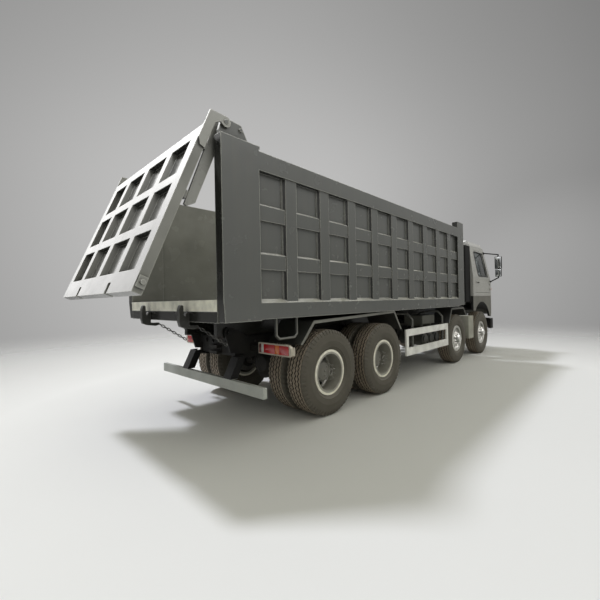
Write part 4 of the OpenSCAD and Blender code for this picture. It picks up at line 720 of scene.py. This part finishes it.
# radius and distance from the lamp's face
BOWL = [(0.066, 0.001), (0.066, 0.006), (0.058, 0.006), (0.03, 0.002), (0.012, 0.003), (0.012, 0.008)]
COVER_GAP, COVER_SUNK, COVER_PROUD, COVER_ROUND = 0.003, 0.006, 0.004, 0.005
for side, word in SIDES:
    b = Build()
    for y in (HEAD_IN + BOWL_IN, HEAD_OUT - BOWL_IN):
        b.spin((head_high.x, side * y, (head_low.z + head_high.z) / 2), (1, 0, 0), BOWL, 32)
    b.make("lamp_bowls_" + word, "chassis", [bowl_metal])
    b = Build()
    ya, yb = sorted((side * (HEAD_IN + COVER_GAP), side * (HEAD_OUT - COVER_GAP)))
    b.pad((bumper_front - COVER_SUNK, ya, head_low.z + COVER_GAP),
          (bumper_front + COVER_PROUD, yb, head_high.z - COVER_GAP), COVER_ROUND)
    b.make("lamp_cover_" + word, "chassis", [clear_lens])


# Mirror glass on the rear faces of the mirrors' heads

MIRROR_Y = 1.40
MIRROR_DEEP, MIRROR_PROUD, MIRROR_SUNK, MIRROR_ROUND = 0.095, 0.004, 0.003, 0.02
# lower edge, upper edge and half width
MIRROR_PANES = [(2.322, 2.638, 0.078), (2.102, 2.286, 0.068)]
mirror_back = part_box("mirrors")[1].x - MIRROR_DEEP
for side, word in SIDES:
    b = Build()
    for z0, z1, half in MIRROR_PANES:
        y = side * MIRROR_Y
        b.pad((mirror_back - MIRROR_PROUD, y - half, z0),
              (mirror_back + MIRROR_SUNK, y + half, z1), MIRROR_ROUND)
    b.make("mirror_glass_" + word, "cab", [mirror_glass])


# Window seals

SEAL_WIDE, SEAL_HIGH, SEAL_SUNK = 0.026, 0.007, 0.004
SEAL = [(-SEAL_WIDE / 2, -SEAL_SUNK), (SEAL_WIDE / 2, -SEAL_SUNK), (SEAL_WIDE / 2, SEAL_HIGH * 0.4),
        (SEAL_WIDE / 4, SEAL_HIGH), (-SEAL_WIDE / 4, SEAL_HIGH), (-SEAL_WIDE / 2, SEAL_HIGH * 0.4)]
SEAL_STEP = 0.04
# steps in which the opening's edge is felt for, across the pane's outline, and their count each way
FEEL_STEP, FEEL_IN, FEEL_OUT = 0.002, 25, 30
# how far behind the pane the wall round it may lie
WALL_BEHIND = 0.09


def even(loop, step):
    """Points about step apart round a closed 2-D outline."""
    points = []
    for i, a in enumerate(loop):
        b = loop[(i + 1) % len(loop)]
        count = max(1, round((b - a).length / step))
        points += [a.lerp(b, k / count) for k in range(count)]
    return points


def seal(name, body, pane, wall, axis, facing):
    """A rubber strip on the wall round a pane's opening; the wall looks along the axis, + or - by facing."""
    a, b = [i for i in range(3) if i != axis]
    flat = [Vector((p[a], p[b])) for p in pane]
    middle = sum(flat, Vector((0, 0))) / len(flat)
    deepest = min(facing * p[axis] for p in pane)
    outward = Vector((0, 0, 0))
    outward[axis] = facing

    def skin(q):
        """The wall's point over a 2-D place, if the wall is there."""
        start = outward * OUTSIDE
        start[a], start[b] = q
        hit = wall.ray_cast(start, -outward)[0]
        return hit if hit is not None and facing * hit[axis] > deepest - WALL_BEHIND else None

    path = []
    for p in even([flat[i] for i in convex_hull_2d(flat)], SEAL_STEP):
        way = (p - middle).normalized()
        for k in range(-FEEL_IN, FEEL_OUT):
            if skin(p + way * FEEL_STEP * k):
                edge = skin(p + way * (FEEL_STEP * k + SEAL_WIDE * 0.4))
                if edge:
                    path.append(edge)
                break
    strip = Build()
    strip.sweep(path, SEAL, outward, close=True)
    strip.make(name, body, [seal_rubber], angle=50.0)


for side, word in SIDES:
    pane = [v.co for v in nodes["door_glass_" + word].data.vertices]
    seal("door_seal_" + word, "door_" + word, pane, tree_of("door_" + word), 1, side)
panes = [v.co for v in nodes["cab_glass"].data.vertices]
pane_low, pane_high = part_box("cab_glass")
pane_middle = (pane_low.x + pane_high.x) / 2
seal("screen_seal", "cab", [p for p in panes if p.x > pane_middle], tree_of("cab_front", "cab_roof"), 0, 1)
seal("back_seal", "cab", [p for p in panes if p.x < pane_middle], tree_of("cab_back"), 0, -1)


# Wipers

# pivot, elbow and the blade's two ends: across the screen and up from its lower edge
WIPERS = [((0.62, 0.03), (0.2, 0.12), (0.5, 0.05), (-0.1, 0.15)),
          ((-0.06, 0.03), (-0.48, 0.12), (-0.18, 0.05), (-0.78, 0.15))]
# how far these four points stand off the glass
WIPER_OFF = (0.012, 0.03, 0.014, 0.014)
WIPER_FROM_Z = pane_low.z + 0.03
# the hub's radius and distance along its axis; sections of the arm and the blade: side and height
HUB = [(0.022, 0.0), (0.022, 0.02), (0.014, 0.03), (0.0, 0.032)]
HUB_SUNK = Vector((0.012, 0, 0))
ARM = [(-0.009, -0.004), (0.009, -0.004), (0.007, 0.004), (-0.007, 0.004)]
ARM_RISE, ARM_BEND = Vector((0.016, 0, 0)), Vector((0.02, 0, 0))
BLADE = [(-0.006, -0.012), (0.006, -0.012), (0.009, 0.004), (-0.009, 0.004)]
BLADE_BEND = Vector((0.004, 0, 0))
screen = tree_of("cab_glass")


def on_screen(spot, off):
    """A point off the windscreen's outer face."""
    y, rise = spot
    hit = screen.ray_cast(Vector((OUTSIDE, y, WIPER_FROM_Z + rise)), Vector((-1, 0, 0)))[0]
    return hit + Vector((off, 0, 0))


b = Build()
for spots in WIPERS:
    pivot, elbow, near, far_end = [on_screen(spot, off) for spot, off in zip(spots, WIPER_OFF)]
    b.spin(pivot - HUB_SUNK, (1, 0, 0), HUB, 20)
    b.sweep([pivot + ARM_RISE, pivot.lerp(elbow, 0.5) + ARM_BEND, elbow], ARM, (1, 0, 0))
    b.sweep([near, near.lerp(far_end, 0.5) + BLADE_BEND, far_end], BLADE, (1, 0, 0))
b.make("wipers", "cab", [seal_rubber])


# Door handles and corner lamps

HANDLE_Z = 1.9
# distance from the door's rear edge and from its skin
HANDLE = [(0.06, 0.002), (0.085, 0.03), (0.17, 0.03), (0.195, 0.002)]
# section of the handle: side and height
GRIP = [(-0.013, -0.006), (0.013, -0.006), (0.011, 0.007), (-0.011, 0.007)]
CORNER_X, CORNER_Z = bumper_front - 0.3, 1.75
CORNER_HALF, CORNER_ROUND = Vector((0.045, 0.012, 0.03)), 0.011
cab_skin = tree_of("cab_front", "cab_sides")
for side, word in SIDES:
    door = tree_of("door_" + word)
    door_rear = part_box("door_" + word)[0].x
    inward = Vector((0, -side, 0))
    grip = []
    for along, off in HANDLE:
        hit = door.ray_cast(Vector((door_rear + along, side * OUTSIDE, HANDLE_Z)), inward)[0]
        grip.append(hit - inward * off)
    b = Build()
    b.sweep(grip, GRIP, (0, side, 0))
    b.make("door_handle_" + word, "door_" + word, [seal_rubber])
    corner = cab_skin.ray_cast(Vector((CORNER_X, side * OUTSIDE, CORNER_Z)), inward)[0]
    b = Build()
    b.pad(corner - CORNER_HALF, corner + CORNER_HALF, CORNER_ROUND)
    b.make("corner_lamp_" + word, "cab", [amber_lens])


# Bolts along the frame rails

RAIL_Y, RAIL_SLACK, BESIDE_RAIL = 0.425, 0.004, 0.7
BOLT_STEP, BOLT_MARGIN = 0.29, 0.2
BOLT_ROWS = (0.885, 0.985)
BOLT_SIZE, BOLT_LENGTH = 0.012, 0.012
rails = tree_of("chassis_frame")
frame_low, frame_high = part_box("chassis_frame")
for side, word in SIDES:
    b = Build()
    for k in range(int((frame_high.x - frame_low.x - 2 * BOLT_MARGIN) / BOLT_STEP)):
        for z in BOLT_ROWS:
            start = Vector((frame_low.x + BOLT_MARGIN + BOLT_STEP * k, side * BESIDE_RAIL, z))
            hit = rails.ray_cast(start, Vector((0, -side, 0)))[0]
            if hit is not None and abs(abs(hit.y) - RAIL_Y) < RAIL_SLACK:
                b.bolt(hit, (0, side, 0), BOLT_SIZE, BOLT_LENGTH, stud=False)
    b.make("frame_bolts_" + word, "chassis", [bolt_steel], angle=30.0)


# Seats: stuffed cushions on bellows

seat_low, seat_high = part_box("seats")
SEAT_Y = seat_high.y - 0.25
SWELL = 0.024
VOXEL = 0.013
PRESSURE, CLOTH_QUALITY, CLOTH_FRAMES = 4.0, 4, 20
SEAM_DEPTH, SEAM_WIDTH = 0.009, 0.01
# lower and upper corner from the seat's back and floor: along, half across, up; seam axis and shares
PADS = {"cushion": ((0.05, 0.25, 0.24), (0.59, 0.25, 0.37), 1, (0.22, 0.5, 0.78)),
        "back": ((0.0, 0.24, 0.37), (0.14, 0.24, 0.88), 2, (0.25, 0.5, 0.75)),
        "headrest": ((0.02, 0.13, 0.88), (0.12, 0.13, 1.06), 1, (0.5,))}
INSET = Vector((0.018, 0.018, 0.018))
PAD_ROUND, PAD_STEPS = 0.03, 4
# bellows: middle from the seat's back, half lengths of the folds in turn, and how much narrower they are
BASE_ALONG = Vector((0.33, 0, 0))
FOLDS, FOLD_HALVES, FOLD_NARROWER = 4, (0.22, 0.2), 0.02
FOLD_FROM, FOLD_STEP, FOLD_HIGH, FOLD_ROUND = 0.02, 0.05, 0.052, 0.024
FOOT_LOW, FOOT_HIGH = Vector((-0.22, -0.2, 0.0)), Vector((0.22, 0.2, 0.03))


def swell(obj):
    """Remeshes a pad evenly and blows it up like a stuffed cover; no point moves further than SWELL."""
    remesh = obj.modifiers.new("even", "REMESH")
    remesh.mode = "VOXEL"
    remesh.voxel_size = VOXEL
    plain = bpy.data.meshes.new_from_object(obj.evaluated_get(bpy.context.evaluated_depsgraph_get()))
    obj.modifiers.remove(remesh)
    obj.data = plain
    stuffing = obj.modifiers.new("stuffing", "CLOTH")
    stuffing.settings.use_pressure = True
    stuffing.settings.uniform_pressure_force = PRESSURE
    stuffing.settings.effector_weights.gravity = 0.0
    stuffing.settings.quality = CLOTH_QUALITY
    stuffing.point_cache.frame_end = CLOTH_FRAMES
    for f in range(1, CLOTH_FRAMES + 1):
        bpy.context.scene.frame_set(f)
    blown = obj.evaluated_get(bpy.context.evaluated_depsgraph_get()).data
    moved = [v.co.copy() for v in blown.vertices]
    obj.modifiers.remove(stuffing)
    bpy.context.scene.frame_set(1)
    for v, to in zip(obj.data.vertices, moved):
        step = to - v.co
        v.co += step * min(1.0, SWELL / max(step.length, 1e-6))


def press(mesh, low, high, across, seams):
    """Sewn channels: dents across an axis at the seams' shares of the pad."""
    length = high[across] - low[across]
    for v in mesh.vertices:
        share = (v.co[across] - low[across]) / length
        for seam in seams:
            off = abs(share - seam) * length
            if off < 3 * SEAM_WIDTH:
                v.co -= v.normal * SEAM_DEPTH * exp(-(off / SEAM_WIDTH) ** 2)


for side, word in SIDES:
    base = Vector((seat_low.x, side * SEAT_Y, seat_low.z))
    for part, (near, over, axis, seams) in PADS.items():
        low = base + Vector((near[0], -near[1], near[2]))
        high = base + Vector(over)
        b = Build()
        b.pad(low + INSET, high - INSET, PAD_ROUND, PAD_STEPS)
        pad = b.make("seat_" + part + "_" + word, "cab", [look["seat_cloth"]], angle=60.0)
        swell(pad)
        pad.data.shade_smooth()
        press(pad.data, low, high, axis, seams)
        round_off = pad.modifiers.new("round", "SUBSURF")
        round_off.levels = round_off.render_levels = 1
        if part == "cushion" and side > 0:
            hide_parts("seats")
    b = Build()
    middle = base + BASE_ALONG
    for k in range(FOLDS):
        wide, z = FOLD_HALVES[k % 2], FOLD_FROM + FOLD_STEP * k
        half = Vector((wide, wide - FOLD_NARROWER, 0))
        b.pad(middle - half + Vector((0, 0, z)), middle + half + Vector((0, 0, z + FOLD_HIGH)), FOLD_ROUND)
    b.pad(middle + FOOT_LOW, middle + FOOT_HIGH)
    b.make("seat_base_" + word, "cab", [look["interior"]])


# Studio: floor

FLOOR_MIDDLE = Vector((-1.5, -1.0, 0.0))
FLOOR_R, FLOOR_SIDES = 30.0, 96
FADE_FROM, FADE_TO = 5.2, 19.2
FLOOR_DARK, FLOOR_PALE, FLOOR_DIM = (0.785, 0.785, 0.78), (0.815, 0.815, 0.81), (0.66, 0.66, 0.655)
# the way in which the floor's colour grows dimmer as painted shade, and where that begins and ends
DIM_WAY, DIM_FROM, DIM_TO = (0.7, -0.7, 0.0), -2.5, 4.5


def fade_floor():
    """Pale floor, dimmer to one side as painted shade, that fades into the backdrop's grey far from the
    truck.
    """
    s = Shader("floor")
    plain = s.mix(s.fit(s.noise(0.25, 3.0), 0.3, 0.7), tone(FLOOR_DARK), tone(FLOOR_PALE))
    across = s.fit(s.vector("DOT_PRODUCT", s.coords(), DIM_WAY), DIM_FROM, DIM_TO, 0.0, 0.75, smooth=True)
    s.set(Base_Color=s.mix(across, plain, tone(FLOOR_DIM)), Roughness=0.85, Specular_IOR_Level=0.1)
    far = s.vector("LENGTH", s.vector("SUBTRACT", s.coords(), FLOOR_MIDDLE))
    kept = s.math("POWER", s.fit(far, FADE_FROM, FADE_TO, 1.0, 0.0), 2.0)
    blend = s.add("ShaderNodeMixShader", {"Fac": s.math("SUBTRACT", 1.0, kept)})
    s.put(blend.inputs[1], s.bsdf.outputs[0])
    s.put(blend.inputs[2], s.add("ShaderNodeBsdfTransparent").outputs[0])
    s.put(s.tree.nodes["Material Output"].inputs["Surface"], blend.outputs[0])
    return s.material


floor_mesh = bpy.data.meshes.new("floor")
floor_ring = [FLOOR_MIDDLE + p for p in circle(FLOOR_R, 0.0, FLOOR_SIDES)]
floor_mesh.from_pydata(floor_ring, [], [tuple(range(FLOOR_SIDES))])
floor_mesh.materials.append(fade_floor())
floor = bpy.data.objects.new("floor", floor_mesh)
bpy.context.scene.collection.objects.link(floor)


# Studio: backdrop and light

def heading(azimuth, elevation):
    """The direction at two angles in degrees."""
    a, e = radians(azimuth), radians(elevation)
    return Vector((cos(a) * cos(e), sin(a) * cos(e), sin(e)))


# backdrop: grey by angle in degrees from the middle of its glow, and a weaker glow near the floor
GLOW = heading(54, 12)
BACKDROP = [(0, 0.52), (17, 0.51), (27, 0.44), (37, 0.35), (47, 0.285), (55, 0.22), (68, 0.185), (90, 0.3)]
WIDEST = 90.0
LOW_GLOW = Vector((cos(radians(6)), sin(radians(6)), 0.02)).normalized()
LOW_EDGE, LOW_MIDDLE, LOW_LIGHT = 0.965, 0.999, 0.07
# light panel beside the truck, seen in its paint: direction, edge and middle as cosines, brightness there
PANEL = Vector((-0.08, 0.94, 0.33)).normalized()
PANEL_EDGE, PANEL_MIDDLE, PANEL_LIGHT = 0.93, 0.998, 1.9
OVERHEAD_LIGHT = 5.0
# soft room light: strongest from above and the truck's right front, and a little warm
ROOM = Vector((0.4, -0.45, 0.8)).normalized()
ROOM_DIM, ROOM_BRIGHT = 0.05, 0.7
ROOM_BLUE, BACKDROP_BLUE, TINT_GREEN = 0.87, 0.985, 0.995

world = bpy.data.worlds.new("studio")
bpy.context.scene.world = world
world.use_nodes = True
g = Graph(world.node_tree)
way = g.add("ShaderNodeTexCoord").outputs["Generated"]
rise = g.axis(way, "Z")
path = g.add("ShaderNodeLightPath").outputs
seen = g.math("MAXIMUM", path["Is Camera Ray"], path["Is Transmission Ray"])
glossy = path["Is Glossy Ray"]

# what the camera sees
ramp = g.add("ShaderNodeValToRGB")
off = g.math("ARCCOSINE", g.vector("DOT_PRODUCT", way, GLOW))
g.put(ramp.inputs["Fac"], g.math("DIVIDE", off, radians(WIDEST)))
stops = ramp.color_ramp
stops.interpolation = "B_SPLINE"
while len(stops.elements) < len(BACKDROP):
    stops.elements.new(0.5)
for stop, (angle, grey) in zip(stops.elements, BACKDROP):
    stop.position = angle / WIDEST
    stop.color = (grey, grey, grey, 1.0)
wall = g.math("MULTIPLY", ramp.outputs["Color"], g.fit(rise, 0.3, 0.65, 1.0, 0.88, smooth=True))
low_glow = g.fit(g.vector("DOT_PRODUCT", way, LOW_GLOW), LOW_EDGE, LOW_MIDDLE, 0.0, LOW_LIGHT, smooth=True)
wall = g.math("ADD", wall, low_glow)

# what glossy paint mirrors, and what lights the rest
sky = g.fit(rise, 0.0, 0.5, 0.22, 0.8, smooth=True)
sky = g.math("ADD", sky, g.fit(rise, 0.4, 0.75, 0.0, OVERHEAD_LIGHT, smooth=True))
panel = g.fit(g.vector("DOT_PRODUCT", way, PANEL), PANEL_EDGE, PANEL_MIDDLE, 0.0, PANEL_LIGHT, smooth=True)
mirrored = g.math("ADD", sky, panel)
room = g.fit(g.vector("DOT_PRODUCT", way, ROOM), -1.0, 1.0, ROOM_DIM, ROOM_BRIGHT)

blue = g.blend(g.math("MAXIMUM", seen, glossy), ROOM_BLUE, BACKDROP_BLUE)
tint = g.add("ShaderNodeCombineColor", {"Red": 1.0, "Green": TINT_GREEN, "Blue": blue})
back = world.node_tree.nodes["Background"]
g.put(back.inputs["Color"], tint.outputs[0])
g.put(back.inputs["Strength"], g.blend(seen, g.blend(glossy, room, mirrored), wall))

SUN_WAY = Vector((0.19, -0.56, -1.0))
sun = bpy.data.objects.new("key", bpy.data.lights.new("key", "SUN"))
sun.data.energy = 1.92
sun.data.color = (0.91, 0.925, 1.0)
sun.data.angle = radians(6.5)
sun.rotation_euler = SUN_WAY.to_track_quat("-Z", "Y").to_euler()
bpy.context.scene.collection.objects.link(sun)


# Camera: the photograph's place, aim and lens

EYE = Vector((-6.127, -4.046, 1.507))
YAW, PITCH, ROLL = 44.253, 0.174, radians(-1.132)
FOCAL_PX, IMAGE_PX, SENSOR = 338.351, 600.0, 36.0
ahead = heading(YAW, PITCH)
right = ahead.cross(Vector((0, 0, 1))).normalized()
upward = right.cross(ahead)
turned_right = right * cos(ROLL) + upward * sin(ROLL)
turned_up = upward * cos(ROLL) - right * sin(ROLL)
aim = Matrix((turned_right, turned_up, -ahead)).transposed().to_4x4()
camera = bpy.data.objects.new("camera", bpy.data.cameras.new("camera"))
camera.data.sensor_width = SENSOR
camera.data.lens = FOCAL_PX / IMAGE_PX * SENSOR
camera.matrix_world = Matrix.Translation(EYE) @ aim
bpy.context.scene.collection.objects.link(camera)
bpy.context.scene.camera = camera
bpy.context.scene.view_settings.view_transform = "Standard"
